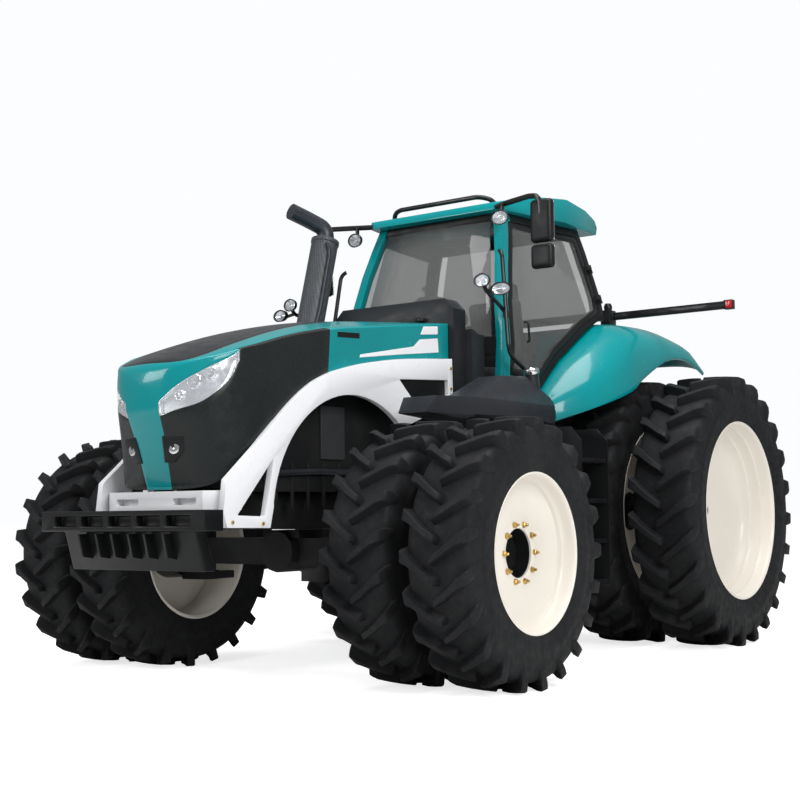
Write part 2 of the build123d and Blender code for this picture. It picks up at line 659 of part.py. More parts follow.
def windscreen():
    """Glass between the front posts, bowed forward, from the bulkhead up to the roof's rail."""
    def section(y, z, half, bulge):
        front = [(half * s, y - bulge * (1 - s ** 2), z) for s in (-1, -0.6, -0.2, 0.2, 0.6, 1)]
        return front + [(px, py + glass_thick, pz) for px, py, pz in reversed(front)]
    return faceted([section(1478, screen_low_z + seat_gap, 592, screen_bulge), section(1692, 3132, 462, 25)])


def rear_window():
    """Glass that leans from the beam behind the seat up to the roof's rear rail."""
    low, high = 2540 + seat_gap, cab_rear_edge[0][1] - post_depth - seat_gap
    pane = side_plate([(cab_rear_y - 34, low), (cab_rear_y - 34 + glass_thick, low),
                       (cab_rear_edge[0][0] - 25 + glass_thick, high), (cab_rear_edge[0][0] - 25, high)], (-700, 700))
    return pane & front_plate([(-700, low), (700, low), (540, high), (-540, high)], (2500, 2800))


def door_frame():
    """Door's frame with the two eyes that turn on the rear post's pins, on the left."""
    body = cab_side(door_thick, door_face(seam)) - extrude(door_face(seam + door_frame_width), amount=700, dir=(1, 0, 0))
    for plane in door_hinges():
        at = plane * Pos(0, 0, 1 + hinge_height / 2)
        body += plane * Pos(0, 0, 1) * extrude(RegularPolygon(door_eye_radius, 8), amount=hinge_height)
        body += at * Pos(0, -30, 0) * Box(16, 60, hinge_height) + at * Pos(-15, -48, 0) * Box(46, 24, hinge_height)
        body -= plane * Cylinder(door_pin_radius + running, 3 * hinge_height)
    return body


def door_glass():
    face = door_face(seam + door_frame_width + seat_gap)
    return Pos(-glass_thick, 0, 0) * cab_side(glass_thick, face)


def seat():
    """Driver's seat: pedestal, cushion and back."""
    base = block((-180, 180), (2150, 2500), (cab_floor_z + seat_gap, cab_floor_z + 330))
    cushion = block((-240, 240), (2080, 2560), (cab_floor_z + 329, cab_floor_z + 450))
    back = side_plate([(2500, cab_floor_z + 400), (2460, cab_floor_z + 500), (2540, cab_floor_z + 1050),
                       (2630, cab_floor_z + 1050), (2600, cab_floor_z + 400)], (-230, 230))
    return base + cushion + back


def controls():
    """Dash, steering column and wheel, and the console beside the seat."""
    dash = side_plate([(1400 + seat_gap, cab_floor_z + seat_gap), (1400 + seat_gap, 2230), (1520, 2390), (1640, 2300),
                       (1520, cab_floor_z + seat_gap)], (-170, 170))
    axis = Plane(origin=(0, 1700, 2480), x_dir=(1, 0, 0), z_dir=(0, 0.5, 0.87))
    rim_ring = extrude(RegularPolygon(215, 20) - RegularPolygon(188, 20), amount=24)
    wheel = axis * rim_ring + axis * Box(390, 40, 16) + axis * Pos(0, 0, -220) * extrude(RegularPolygon(45, 10), amount=225)
    console = block((-480, -280), (2050, 2560), (cab_floor_z + seat_gap, cab_floor_z + 640))
    return Compound(children=[dash + wheel, console])


def fender():
    """Rear fender: a skin that bulges out over the tyre, closed at its front beside the step, on the left."""
    shares = ((0, 1), (0.3, 1), (0.6, 0.8), (0.9, 0.4), (1, 0))
    chains = []
    for y, top, *rest in fender_sections:
        outer = [(fender_inner, top), *rest]
        inner = [(x - fender_wall * a, z - fender_wall * b) for (x, z), (a, b) in zip(outer, shares)]
        chains.append([[(x, y, z) for x, z in chain] for chain in (outer, inner)])
    skin = faceted([outer + inner[::-1] for outer, inner in chains])
    front, following = chains[0][1], chains[1][1]
    share = 2 * fender_wall / (following[0][1] - front[0][1])
    back = [tuple(p + (q - p) * share for p, q in zip(a, b)) for a, b in zip(front, following)]
    plug = faceted([chain + [(fender_inner, chain[0][1], front[-1][2])] for chain in (front, back)])
    return skin + plug


# ---------------------------------------------------------------- outside fittings
def side_tank():
    """Fuel tank on the left with its filler neck; the right side carries the same form as a toolbox."""
    body = side_plate(tank_profile, (tank_inner, tank_outer))
    edge = front_plate([(tank_inner - 10, 1500), (tank_outer - 90, 1500), (tank_outer, 1620), (tank_outer, 1740),
                        (tank_outer - 110, 1960), (tank_inner - 10, 1960)], (0, 1800))
    plan = plan_plate([(tank_inner, 100), (tank_outer - 60, 100), (tank_outer, 240), (tank_outer, 1700), (tank_inner, 1700)],
                      (1500, 2000))
    neck = Pos(900, 1520, 1900) * Rot(X=12) * extrude(RegularPolygon(48, 10), amount=65, both=True)
    arm = front_plate([(gearbox_half + seat_gap, 1200), (gearbox_half + 60, 1200), (gearbox_half + 60, 1500),
                       (tank_inner + 100, 1500), (tank_inner + 100, 1660), (tank_inner + 30, 1660),
                       (tank_inner + 30, 1560), (gearbox_half + seat_gap, 1560)], (1290, 1370))
    return (body & edge & plan) + neck + arm


def ladder():
    """Steps up to the door between two side plates, on the left."""
    outline = [(ladder_inner, 480), (ladder_outer, 480), (ladder_outer, 1489), (ladder_outer - 80, ladder_top),
               (ladder_inner, ladder_top)]
    plates = front_plate(outline, (ladder_front, ladder_front + wall)) + front_plate(
        outline, (ladder_rear - wall, ladder_rear))
    steps = [block((ladder_inner, ladder_outer - 20), (ladder_front + 1, ladder_rear - 1), (500 + ladder_pitch * i, 530 + ladder_pitch * i))
             for i in range(ladder_steps)]
    hanger = block((gearbox_half + seat_gap, ladder_inner + 60), (ladder_front + 100, ladder_front + 180), (1270, 500 + 3 * ladder_pitch + 1))
    return plates + steps + hanger


def exhaust():
    """Leaning sheath round the stack, with a pipe that bends forward to its slash-cut end."""
    foot, head = Vector(stack_x, *stack_foot), Vector(stack_x, *stack_head)
    up = (head - foot).normalized()
    sheath = Plane(origin=foot, z_dir=up) * extrude(RegularPolygon(stack_radius, 20), amount=(head - foot).length)
    turn = head + up * 90
    pipe = tube([tuple(head - up * 20), tuple(turn), (stack_x - 60, turn.Y - 130, turn.Z + 60),
                 (stack_x - 110, turn.Y - 290, turn.Z + 110)], pipe_radius, 12)
    low = block((stack_x + 60, -cowl_half - seat_gap), (930, 1180), (2290, 2340))
    return sheath + pipe + low


def roof_rail():
    """Tube rail over the front of the roof on two feet."""
    foot = (464, 1788, 3262)
    points = [(foot[0], foot[1], foot[2] - 20), (foot[0], foot[1] - 20, foot[2] + 40), (377, 1697, 3335),
              (-377, 1697, 3335), (-foot[0], foot[1] - 20, foot[2] + 40), (-foot[0], foot[1], foot[2] - 20)]
    return tube(points, 18)


def mirror_arm():
    """Arm from the roof's front corner with a hanging work lamp and two mirror housings, on the left."""
    arm = tube([(540, 1640, 3215), (700, 1560, 3215), (924, 1520, 3228), (990, 1510, 3200), (990, 1510, 3120)], 22)
    lamp = Pos(657, 1540, 3105) * Rot(X=90) * extrude(RegularPolygon(62, 12), amount=35, both=True) + block((650, 664), (1550, 1564), (3130, 3215))
    heads = block((905, 1080), (1500, 1570), (2890, 3190)) + block((905, 1080), (1505, 1575), (2700, 2870)) + block(
        (978, 1002), (1528, 1552), (2860, 2900))
    return arm + lamp + heads


def lamp_bracket():
    """Bracket on the cab's front post with a round lamp above an oval one, and the grab rail, on the left."""
    strut = tube([(690, 1500, 2400), (760, 1300, 2440), (846, 1000, 2500)], 14)
    round_lamp = Pos(846, 979, 2555) * Rot(X=90) * extrude(RegularPolygon(42, 10), amount=30, both=True) + block(
        (838, 854), (978, 994), (2495, 2530))
    oval = Pos(975, 1015, 2490) * Rot(X=90) * extrude(RegularPolygon(45, 10), amount=25, both=True) + tube(
        [(846, 1000, 2500), (975, 1015, 2490)], 12, 6)
    return strut + round_lamp + oval


def marker_arm():
    """Flat arm behind the cab that carries the outer marker lamp, on the left."""
    return block((690, 1700), (3035, 3060), (2520, 2580)) + block((1700, 1770), (3020, 3075), (2515, 2585)) + block(
        (680, 760), (2985, 3100), (2440, 2600))


# ---------------------------------------------------------------- every sub-part
save_wheels()
save("front_frame", front_frame())
save("weight_carrier", weight_carrier())
save("front_axle", front_axle())
save("engine", engine())
save("transmission", transmission() + link_pins())
save("drawbar", drawbar())
save("cowl", cowl())
save("bumper", bumper())
save("cab_base", cab_base())
save("cab_frame", cab_frame())
save("cab_glass", Part(children=[]) + windscreen() + rear_window())
save("roof", roof())
save("seat", seat())
save("controls", controls())
save("exhaust", exhaust())
save("roof_rail", roof_rail() - roof())
save("lower_links", lower_links())
save("lift_arms", lift_arms())
save("lift_rods", lift_rods())
save("mirrors", both_sides(mirror_arm()) - roof())
save("lamp_brackets", both_sides(lamp_bracket()) - cab_frame())
save("marker_arms", both_sides(marker_arm() - fender()))
save("ladders", both_sides(ladder()))
save("side_tanks", both_sides(side_tank()))
save_bonnet()
for node, piece in (("side_frame", side_frame), ("fender", fender), ("knuckle", knuckle),
                    ("door_frame", door_frame), ("door_glass", door_glass)):
    shape = piece()
    save(f"{node}_left", shape)
    save(f"{node}_right", other_side(shape))
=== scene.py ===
from collections import namedtuple
from math import cos, pi, radians, sin, tau

import bmesh
import bpy
from mathutils import Matrix, Vector


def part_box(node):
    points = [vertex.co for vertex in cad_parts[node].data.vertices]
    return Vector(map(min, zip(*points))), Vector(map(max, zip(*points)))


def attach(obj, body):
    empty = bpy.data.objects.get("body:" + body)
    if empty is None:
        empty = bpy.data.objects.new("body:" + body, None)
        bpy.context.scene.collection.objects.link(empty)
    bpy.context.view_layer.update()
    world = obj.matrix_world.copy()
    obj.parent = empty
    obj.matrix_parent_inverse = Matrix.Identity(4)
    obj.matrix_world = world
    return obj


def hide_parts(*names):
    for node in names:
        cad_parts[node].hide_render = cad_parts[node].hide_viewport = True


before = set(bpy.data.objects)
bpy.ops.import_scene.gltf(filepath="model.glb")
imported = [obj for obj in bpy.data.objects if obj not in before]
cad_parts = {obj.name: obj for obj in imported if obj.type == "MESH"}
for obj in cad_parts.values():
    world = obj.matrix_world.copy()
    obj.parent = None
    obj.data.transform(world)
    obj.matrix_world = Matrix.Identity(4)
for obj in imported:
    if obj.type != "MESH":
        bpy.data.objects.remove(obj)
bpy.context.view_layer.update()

# A farm tractor on dual wheels. Tables, outlines and sections are in mm: X to the tractor's left, Y rearward
# from the front axle, Z up from the ground. Widths of edges, walls, pipes and bends are in metres.
SIDES = {"left": 1, "right": -1}
FLIP = Matrix.Scale(-1, 4, (1, 0, 0))


def middle(node):
    return sum(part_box(node), Vector()) / 2


FRONT_Y = middle("tyres_front_left").y
FRONT_Z = middle("wheels_front_left").z
REAR_Z = middle("wheels_rear_left").z


def mm(x, y, z):
    """A place of the tables, in the scene's metres."""
    return Vector((x / 1000, FRONT_Y + y / 1000, z / 1000))


def places(*points):
    return [mm(*point) for point in points]


# ---------------------------------------------------------------- workshop
def put_down():
    """Leaves edit mode with nothing selected."""
    if bpy.context.mode != "OBJECT":
        bpy.ops.object.mode_set(mode="OBJECT")
    bpy.ops.object.select_all(action="DESELECT")


def pick(obj):
    put_down()
    obj.select_set(True)
    bpy.context.view_layer.objects.active = obj


def open_up(obj):
    """Goes into edit mode with everything selected."""
    pick(obj)
    bpy.ops.object.mode_set(mode="EDIT")
    bpy.ops.mesh.select_all(action="SELECT")


def weld(gap):
    """Merges the points nearer to each other than gap, and leaves everything selected."""
    bpy.ops.mesh.select_all(action="SELECT")
    bpy.ops.mesh.remove_doubles(threshold=gap)
    bpy.ops.mesh.select_all(action="SELECT")


def choose(obj, wanted):
    """Selects only those of a mesh's faces that wanted gives back."""
    bpy.ops.mesh.select_all(action="DESELECT")
    work = bmesh.from_edit_mesh(obj.data)
    work.faces.ensure_lookup_table()
    for face in wanted(work.faces):
        face.select_set(True)
    bmesh.update_edit_mesh(obj.data)


def start_line(name, points):
    """A line drawn through points, in edit mode."""
    put_down()
    bpy.ops.mesh.primitive_plane_add(size=0.01, location=(0, 0, 0))
    obj = bpy.context.object
    obj.name = name
    bpy.ops.object.mode_set(mode="EDIT")
    bpy.ops.mesh.merge(type="CENTER")
    bpy.ops.transform.translate(value=points[0])
    for a, b in zip(points, points[1:]):
        bpy.ops.mesh.extrude_vertices_move(TRANSFORM_OT_translate={"value": b - a})
    return obj


def close_up(obj):
    """Merges what meets, turns every face outwards and goes back to object mode."""
    weld(0.00005)
    bpy.ops.mesh.normals_make_consistent(inside=False)
    bpy.ops.object.mode_set(mode="OBJECT")
    return obj


def plate(name, outline, depth):
    """A closed outline drawn, filled and drawn out by depth."""
    obj = start_line(name, outline)
    bpy.ops.mesh.select_all(action="SELECT")
    bpy.ops.mesh.edge_face_add()
    bpy.ops.mesh.extrude_region_move(TRANSFORM_OT_translate={"value": depth})
    return close_up(obj)


def side_plate(name, x, outline, width):
    """A plate standing lengthwise at x: its (y, z) outline drawn out to the left by width."""
    return plate(name, [mm(x, y, z) for y, z in outline], Vector((width / 1000, 0, 0)))


def turned(name, profile, centre, steps=48, closed=True):
    """A section of (along the axle, radius), spun about an X axis through centre."""
    points = [centre + Vector((x / 1000, 0, r / 1000)) for x, r in profile]
    obj = start_line(name, points + points[:1] if closed else points)
    weld(0.00002)
    bpy.ops.mesh.spin(steps=steps, angle=tau, center=centre, axis=(1, 0, 0))
    return close_up(obj)


def beam(name, sections):
    """A closed bar: its first section drawn as a loop and drawn out to each next one, its ends filled."""
    obj = start_line(name, sections[0] + sections[0][:1])
    weld(0.0001)
    for row, following in zip(sections, sections[1:]):
        bpy.ops.mesh.extrude_edges_move()
        work = bmesh.from_edit_mesh(obj.data)
        for v in work.verts:
            if v.select:
                near = min(range(len(row)), key=lambda i: (row[i] - v.co).length_squared)
                v.co = following[near]
        bmesh.update_edit_mesh(obj.data)
    bpy.ops.mesh.select_all(action="SELECT")
    bpy.ops.mesh.fill_holes(sides=0)
    return close_up(obj)


def pipe(name, points, radius, bend=0.0, sides=3):
    """Round tube through points, its corners rounded by bend, its ends closed."""
    obj = start_line(name, points)
    if bend:
        work = bmesh.from_edit_mesh(obj.data)
        for v in work.verts:
            v.select_set(len(v.link_edges) == 2)
        bmesh.update_edit_mesh(obj.data)
        bpy.ops.mesh.bevel(affect="VERTICES", offset=bend, segments=6)
    bpy.ops.object.mode_set(mode="OBJECT")
    bpy.ops.object.convert(target="CURVE")
    obj.data.bevel_depth = radius
    obj.data.bevel_resolution = sides
    obj.data.use_fill_caps = True
    bpy.ops.object.convert(target="MESH")
    bpy.ops.object.mode_set(mode="EDIT")
    return close_up(obj)


def grid(name, rows):
    """A sheet of quads whose points are given row by row."""
    wide = len(rows[0])
    put_down()
    bpy.ops.mesh.primitive_grid_add(x_subdivisions=wide - 1, y_subdivisions=len(rows) - 1, size=1)
    obj = bpy.context.object
    obj.name = name
    for v in obj.data.vertices:
        v.co = rows[v.index // wide][v.index % wide]
    return obj


def use(obj, kind, **settings):
    """Adds a modifier with its settings and applies it."""
    pick(obj)
    step = obj.modifiers.new(kind.lower(), kind)
    for key, value in settings.items():
        setattr(step, key, value)
    bpy.ops.object.modifier_apply(modifier=step.name)
    return obj


def round_edges(obj, width, segments=2, angle=30):
    return use(obj, "BEVEL", width=width, segments=segments, limit_method="ANGLE", angle_limit=radians(angle))


def smoothed(obj, angle=35):
    pick(obj)
    bpy.ops.object.shade_smooth_by_angle(angle=radians(angle))
    return obj


def soften(obj, width, segments=2, angle=30, smooth=35):
    """Rounds the edges sharper than angle and shades the rest smooth."""
    return smoothed(round_edges(obj, width, segments, angle), smooth)


def box(name, low, high, edge, segments=4):
    """Box between two corners, in metres, with rounded edges."""
    put_down()
    bpy.ops.mesh.primitive_cube_add(size=1, location=(0, 0, 0))
    obj = bpy.context.object
    obj.name = name
    obj.data.transform(Matrix.Translation((low + high) / 2) @ Matrix.Diagonal((*(high - low), 1)))
    return soften(obj, edge, segments, 30, 40)


def block(name, low, high, edge):
    """The same between two places of the tables."""
    return box(name, mm(*low), mm(*high), edge)


def again(obj, name, place):
    """A copy with its own mesh, moved by place."""
    twin = obj.copy()
    twin.data = obj.data.copy()
    twin.name = name
    bpy.context.scene.collection.objects.link(twin)
    twin.data.transform(place)
    if place.determinant() < 0:
        twin.data.flip_normals()
    return twin


def other_side(obj, name):
    return again(obj, name, FLIP)


def together(name, parts):
    """Parts joined as one mesh."""
    put_down()
    for part in parts:
        part.select_set(True)
    bpy.context.view_layer.objects.active = parts[0]
    if len(parts) > 1:
        bpy.ops.object.join()
    parts[0].name = name
    return parts[0]


def both_sides(name, parts):
    """Parts and their mirror images, joined as one mesh."""
    return together(name, parts + [other_side(part, part.name) for part in parts])


def round_about(obj, name, count, centre, first=0.0):
    """obj copied count times about an X axis through centre, joined."""
    there, back = Matrix.Translation(centre), Matrix.Translation(-centre)
    turns = [there @ Matrix.Rotation(first + tau * i / count, 4, "X") @ back for i in range(count)]
    ring = together(name, [again(obj, name, turn) for turn in turns])
    bpy.data.objects.remove(obj)
    return ring


def aimed(obj, centre, way):
    """Turns a piece made along X so that it points along way."""
    turn = Vector((1, 0, 0)).rotation_difference(Vector(way)).to_matrix().to_4x4()
    obj.data.transform(Matrix.Translation(centre) @ turn @ Matrix.Translation(-centre))
    return obj


def fit(obj, finish, body, stands_for=()):
    """Gives a piece its finish and its body, and hides the plain nodes that it stands for."""
    obj.data.materials.clear()
    obj.data.materials.append(finish)
    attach(obj, body)
    if stands_for:
        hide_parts(*stands_for)
    return obj


# ---------------------------------------------------------------- finishes
class Finish:
    """A material whose colour and surface come from a few noises laid over each other."""

    def __init__(self, name, colour, rough, **sockets):
        self.made = bpy.data.materials.new(name)
        self.made.use_nodes = True
        self.tree = self.made.node_tree
        self.shader = self.tree.nodes["Principled BSDF"]
        self.shader.inputs["Roughness"].default_value = rough
        for key, value in sockets.items():
            self.shader.inputs[key.replace("_", " ")].default_value = value
        self.where = self.node("ShaderNodeTexCoord").outputs["Object"]
        self.colour = colour
        self.shade = None
        self.height = None
        self.shader.inputs["Base Color"].default_value = (*colour, 1)

    def node(self, kind, **settings):
        made = self.tree.nodes.new(kind)
        for key, value in settings.items():
            setattr(made, key, value)
        return made

    def link(self, a, b):
        self.tree.links.new(a, b)

    def noise(self, scale, detail):
        noise = self.node("ShaderNodeTexNoise")
        noise.inputs["Scale"].default_value = scale
        noise.inputs["Detail"].default_value = detail
        self.link(self.where, noise.inputs["Vector"])
        return noise.outputs["Fac"]

    def ramp(self, value, low, high, a, b):
        """Value spread between low and high, from a to b."""
        spread = self.node("ShaderNodeMapRange", clamp=True)
        for key, number in zip(("From Min", "From Max", "To Min", "To Max"), (low, high, a, b)):
            spread.inputs[key].default_value = number
        self.link(value, spread.inputs["Value"])
        return spread.outputs["Result"]

    def blend(self, factor, other):
        """Lays another colour over what is there, by factor."""
        mix = self.node("ShaderNodeMix", data_type="RGBA")
        if self.shade is None:
            mix.inputs["A"].default_value = (*self.colour, 1)
        else:
            self.link(self.shade, mix.inputs["A"])
        mix.inputs["B"].default_value = (*other, 1)
        self.link(factor, mix.inputs["Factor"])
        self.shade = mix.outputs["Result"]
        self.link(self.shade, self.shader.inputs["Base Color"])

    def patches(self, scale, detail, low, high, share, other):
        """Patches of another colour, up to share of it."""
        self.blend(self.ramp(self.noise(scale, detail), low, high, 0, share), other)

    def roughen(self, scale, detail, low, high, smooth, rough):
        """Patches smoother and rougher than the rest."""
        value = self.ramp(self.noise(scale, detail), low, high, smooth, rough)
        self.link(value, self.shader.inputs["Roughness"])

    def bump(self, value, strength, distance):
        bump = self.node("ShaderNodeBump")
        bump.inputs["Strength"].default_value = strength
        bump.inputs["Distance"].default_value = distance
        self.link(value, bump.inputs["Height"])
        if self.height is not None:
            self.link(self.height, bump.inputs["Normal"])
        self.height = bump.outputs["Normal"]
        self.link(self.height, self.shader.inputs["Normal"])

    def grain(self, scale, detail, strength, distance):
        self.bump(self.noise(scale, detail), strength, distance)


def scaled(colour, share):
    return tuple(c * share for c in colour)


def gloss_paint(name, colour, shade, rough, coat):
    f = Finish(name, colour, rough, Coat_Weight=coat, Coat_Roughness=0.05, Specular_IOR_Level=0.2)
    f.patches(1.6, 4, 0.35, 0.75, 0.5, shade)
    f.roughen(9, 4, 0.3, 0.8, rough - 0.05, rough + 0.09)
    f.grain(260, 1, 0.04, 0.002)
    return f.made


def moulded(name, colour, shade, rough, grain=420, depth=0.18):
    f = Finish(name, colour, rough, Specular_IOR_Level=0.22)
    f.patches(3.2, 4, 0.35, 0.75, 0.6, shade)
    f.roughen(14, 4, 0.3, 0.75, rough - 0.07, rough + 0.1)
    f.grain(grain, 2, depth, 0.002)
    return f.made


def cast_iron(name, colour, dust):
    f = Finish(name, colour, 0.55, Specular_IOR_Level=0.2)
    f.patches(5, 5, 0.4, 0.75, 0.55, dust)
    f.grain(60, 5, 0.35, 0.004)
    f.grain(340, 2, 0.2, 0.0015)
    return f.made


def rubber(name, colour, worn, dust):
    f = Finish(name, colour, 0.6, Specular_IOR_Level=0.14)
    f.patches(4, 5, 0.35, 0.7, 0.7, worn)
    f.patches(38, 4, 0.55, 0.75, 0.35, dust)
    f.roughen(20, 4, 0.3, 0.7, 0.5, 0.74)
    f.grain(150, 4, 0.2, 0.002)
    return f.made


def steel(name, colour, rough, metallic=0.9):
    f = Finish(name, colour, rough, Metallic=metallic)
    f.patches(12, 5, 0.4, 0.75, 0.6, scaled(colour, 0.6))
    f.roughen(30, 4, 0.3, 0.75, rough - 0.06, rough + 0.15)
    f.grain(200, 3, 0.1, 0.001)
    return f.made


def tinted(name, colour, alpha, rough=0.03):
    f = Finish(name, colour, rough, Alpha=alpha, Specular_IOR_Level=0.6, IOR=1.5)
    f.patches(0.9, 2, 0.3, 0.8, 0.4, scaled(colour, 1.6))
    f.roughen(6, 4, 0.5, 0.8, rough, rough + 0.05)
    return f.made


def woven(name, colour, thread):
    f = Finish(name, colour, 0.85, Sheen_Weight=0.35)
    wave = f.node("ShaderNodeTexWave", wave_type="BANDS", bands_direction="DIAGONAL")
    wave.inputs["Scale"].default_value = 130
    wave.inputs["Distortion"].default_value = 2.5
    f.link(f.where, wave.inputs["Vector"])
    f.blend(f.ramp(wave.outputs["Fac"], 0.2, 0.9, 0, 0.6), thread)
    f.bump(wave.outputs["Fac"], 0.4, 0.001)
    f.grain(30, 3, 0.2, 0.004)
    return f.made


def pierced(name, colour, hole_shade):
    """Dark sheet pierced by rows of small holes that are only painted on: each hole is filled with near-black
    painted shade and pressed in by a bump.
    """
    f = Finish(name, colour, 0.42, Specular_IOR_Level=0.5)
    mapping = f.node("ShaderNodeMapping")
    mapping.inputs["Rotation"].default_value = (radians(45), 0, radians(20))
    f.link(f.where, mapping.inputs["Vector"])
    cells = f.node("ShaderNodeTexVoronoi", feature="F1")
    cells.inputs["Scale"].default_value = 70
    cells.inputs["Randomness"].default_value = 0.0
    f.link(mapping.outputs["Vector"], cells.inputs["Vector"])
    # Mask of the painted holes: it lays the painted shade into them and presses them in
    holes = f.ramp(cells.outputs["Distance"], 0.33, 0.42, 1, 0)
    f.patches(3, 3, 0.4, 0.8, 0.5, scaled(colour, 1.5))
    f.blend(holes, hole_shade)
    f.bump(holes, 0.6, -0.004)
    return f.made


TEAL = gloss_paint("teal_paint", (0.0, 0.225, 0.24), (0.0, 0.275, 0.29), 0.22, 0.35)
WHITE = gloss_paint("white_paint", (0.83, 0.84, 0.86), (0.76, 0.77, 0.79), 0.3, 0.4)
CREAM = gloss_paint("wheel_enamel", (0.79, 0.745, 0.675), (0.71, 0.665, 0.59), 0.36, 0.3)
BLACK = gloss_paint("black_paint", (0.008, 0.0085, 0.009), (0.014, 0.0145, 0.0155), 0.34, 0.2)
CARRIER = gloss_paint("carrier_black", (0.005, 0.0055, 0.006), (0.011, 0.011, 0.012), 0.42, 0.1)
CHASSIS = cast_iron("chassis_iron", (0.009, 0.0095, 0.01), (0.022, 0.021, 0.02))
IRON = cast_iron("engine_iron", (0.01, 0.011, 0.012), (0.026, 0.025, 0.023))
RUBBER = rubber("tyre_rubber", (0.009, 0.0095, 0.0105), (0.017, 0.0175, 0.0185), (0.032, 0.031, 0.03))
GRILLE = moulded("grille_panel", (0.013, 0.0155, 0.0155), (0.019, 0.022, 0.022), 0.27, 700, 0.12)
PATCH = moulded("bonnet_top_panel", (0.016, 0.018, 0.021), (0.025, 0.028, 0.032), 0.3, 300, 0.06)
COWLING = moulded("cowl_plastic", (0.014, 0.0155, 0.018), (0.022, 0.024, 0.027), 0.38, 420, 0.1)
TANK = moulded("tank_plastic", (0.02, 0.022, 0.026), (0.03, 0.033, 0.038), 0.38)
TRIM = moulded("black_trim", (0.007, 0.0075, 0.008), (0.013, 0.0135, 0.0145), 0.4)
INSIDE = moulded("cab_plastic", (0.035, 0.037, 0.04), (0.05, 0.052, 0.056), 0.6)
FABRIC = woven("seat_fabric", (0.03, 0.032, 0.036), (0.06, 0.062, 0.068))
GLASS = tinted("cab_glass", (0.13, 0.133, 0.13), 0.44)
CLEAR = tinted("lamp_glass", (0.7, 0.74, 0.78), 0.16)
RED = tinted("red_lens", (0.5, 0.01, 0.01), 0.85)
CHROME = steel("lamp_chrome", (0.8, 0.8, 0.82), 0.12, 1.0)
ZINC = steel("yellow_zinc", (0.62, 0.42, 0.14), 0.35)
STACK = steel("stack_steel", (0.055, 0.061, 0.072), 0.36, 0.7)
# The last colour is the painted shade inside the sheath's holes
SHEATH = pierced("stack_sheath_steel", (0.05, 0.055, 0.062), (0.006, 0.006, 0.007))


# ---------------------------------------------------------------- tyres and wheels
# Tip and tread radius, half the width, lugs a side, a lug's lead along the tread, the axle's height in metres
TyreForm = namedtuple("TyreForm", "tip tread half lugs lead height")
tyre_forms = {
    "front": TyreForm(777.5, 722, 208, 21, 150, FRONT_Z),
    "rear": TyreForm(1007, 944, 234, 24, 178, REAR_Z),
}
# Half of a tyre's section from the bead to the middle of the tread: across, radius
tyre_walls = {
    "front": [(197, 446), (204, 454), (205, 466), (209, 500), (213, 548), (214, 575), (211, 580), (212, 610),
              (208, 640), (204, 668), (197, 690), (184, 707), (150, 719), (90, 724), (0, 726)],
    "rear": [(212, 649), (219, 657), (220, 670), (228, 715), (236, 770), (239, 800), (236, 806), (237, 840),
             (231, 880), (224, 908), (208, 927), (165, 940), (95, 946), (0, 948)],
}
# A lug from its inner end at the tyre's middle out over the shoulder. Columns: its top across, as a share of
# the half width, and down, as a share of the lug's height, its root in the same way, its place ahead as a
# share of the lead, then the widths of top and root on a front tyre
lug_stations = [
    (-0.08, 0.30, -0.10, 1.15, -0.50, 20, 44), (-0.03, 0.00, -0.05, 1.10, -0.49, 38, 64),
    (0.28, 0.00, 0.28, 1.10, -0.24, 40, 66), (0.56, 0.02, 0.56, 1.12, 0.04, 43, 70),
    (0.74, 0.05, 0.74, 1.20, 0.24, 52, 78), (0.90, 0.10, 0.86, 1.40, 0.34, 60, 86),
    (0.985, 0.24, 0.90, 1.60, 0.40, 64, 90), (1.02, 0.95, 0.93, 1.90, 0.45, 62, 84),
    (1.03, 1.70, 0.97, 2.40, 0.50, 46, 62), (1.025, 2.40, 0.98, 2.70, 0.54, 28, 36),
]
# A rim's flange and the end of its tyre seat, then its dish from flange to flange: across from the rim's
# middle, radius. Outer rims are seen from outside, inner ones between the tyres
rim_flanges = {
    "front": ([(205, 458), (207.5, 454), (205, 447)], (198, 444.8)),
    "rear": ([(220, 661), (222.5, 657), (220, 650)], (213, 647.8)),
}
rim_dishes = {
    ("front", "outer"): [(198, 441), (180, 437), (150, 434), (128, 427), (122, 420), (100, 414), (92, 402),
                         (84, 380), (81, 352), (81, 196), (84, 190), (84, 152), (80, 141), (67, 141),
                         (67, 372), (78, 398), (96, 424), (110, 434), (-196, 434)],
    ("rear", "outer"): [(212, 643), (190, 638), (150, 635), (132, 628), (126, 618), (70, 612), (50, 604),
                        (42, 592), (10, 584), (-22, 566), (-42, 540), (-50, 500), (-53, 430), (-53, 26),
                        (-67, 26), (-67, 505), (-58, 548), (-36, 580), (-4, 602), (30, 618), (60, 630),
                        (-211, 634)],
    ("front", "inner"): [(196, 437), (96, 434), (86, 414), (81, 380), (81, 141), (67, 141), (67, 390),
                         (76, 424), (84, 434), (-196, 434)],
    ("rear", "inner"): [(211, 637), (-20, 634), (-44, 610), (-53, 560), (-53, 150), (-67, 150), (-67, 570),
                        (-60, 612), (-40, 634), (-211, 634)],
}
# Hubs of the left side: X, radius
hub_sections = {
    "front": [(920, 0), (920, 120), (930, 178), (1095, 190), (1116, 190), (1126, 140), (1138, 140),
              (1145, 196), (1165, 200), (1640, 200), (1662, 190), (1662, 139), (1570, 139), (1566, 0)],
    "rear": [(452, 59.5), (795, 60), (796, 190), (858, 192), (862, 112), (900, 108), (905, 60), (1375, 60),
             (1378, 110), (1440, 112), (1444, 190), (1500, 192), (1500, 0)],
}
hub_finish = {"front": BLACK, "rear": CHASSIS}
nut_section = [(81, 0), (81, 20), (84, 20), (86, 16.5), (98, 16.5), (101, 13), (101, 9), (116, 8.5), (118, 6),
               (118, 0)]
NUTS, NUT_CIRCLE = 10, 167.5
TYRE_STEPS, RIM_STEPS, HUB_STEPS = 120, 96, 48


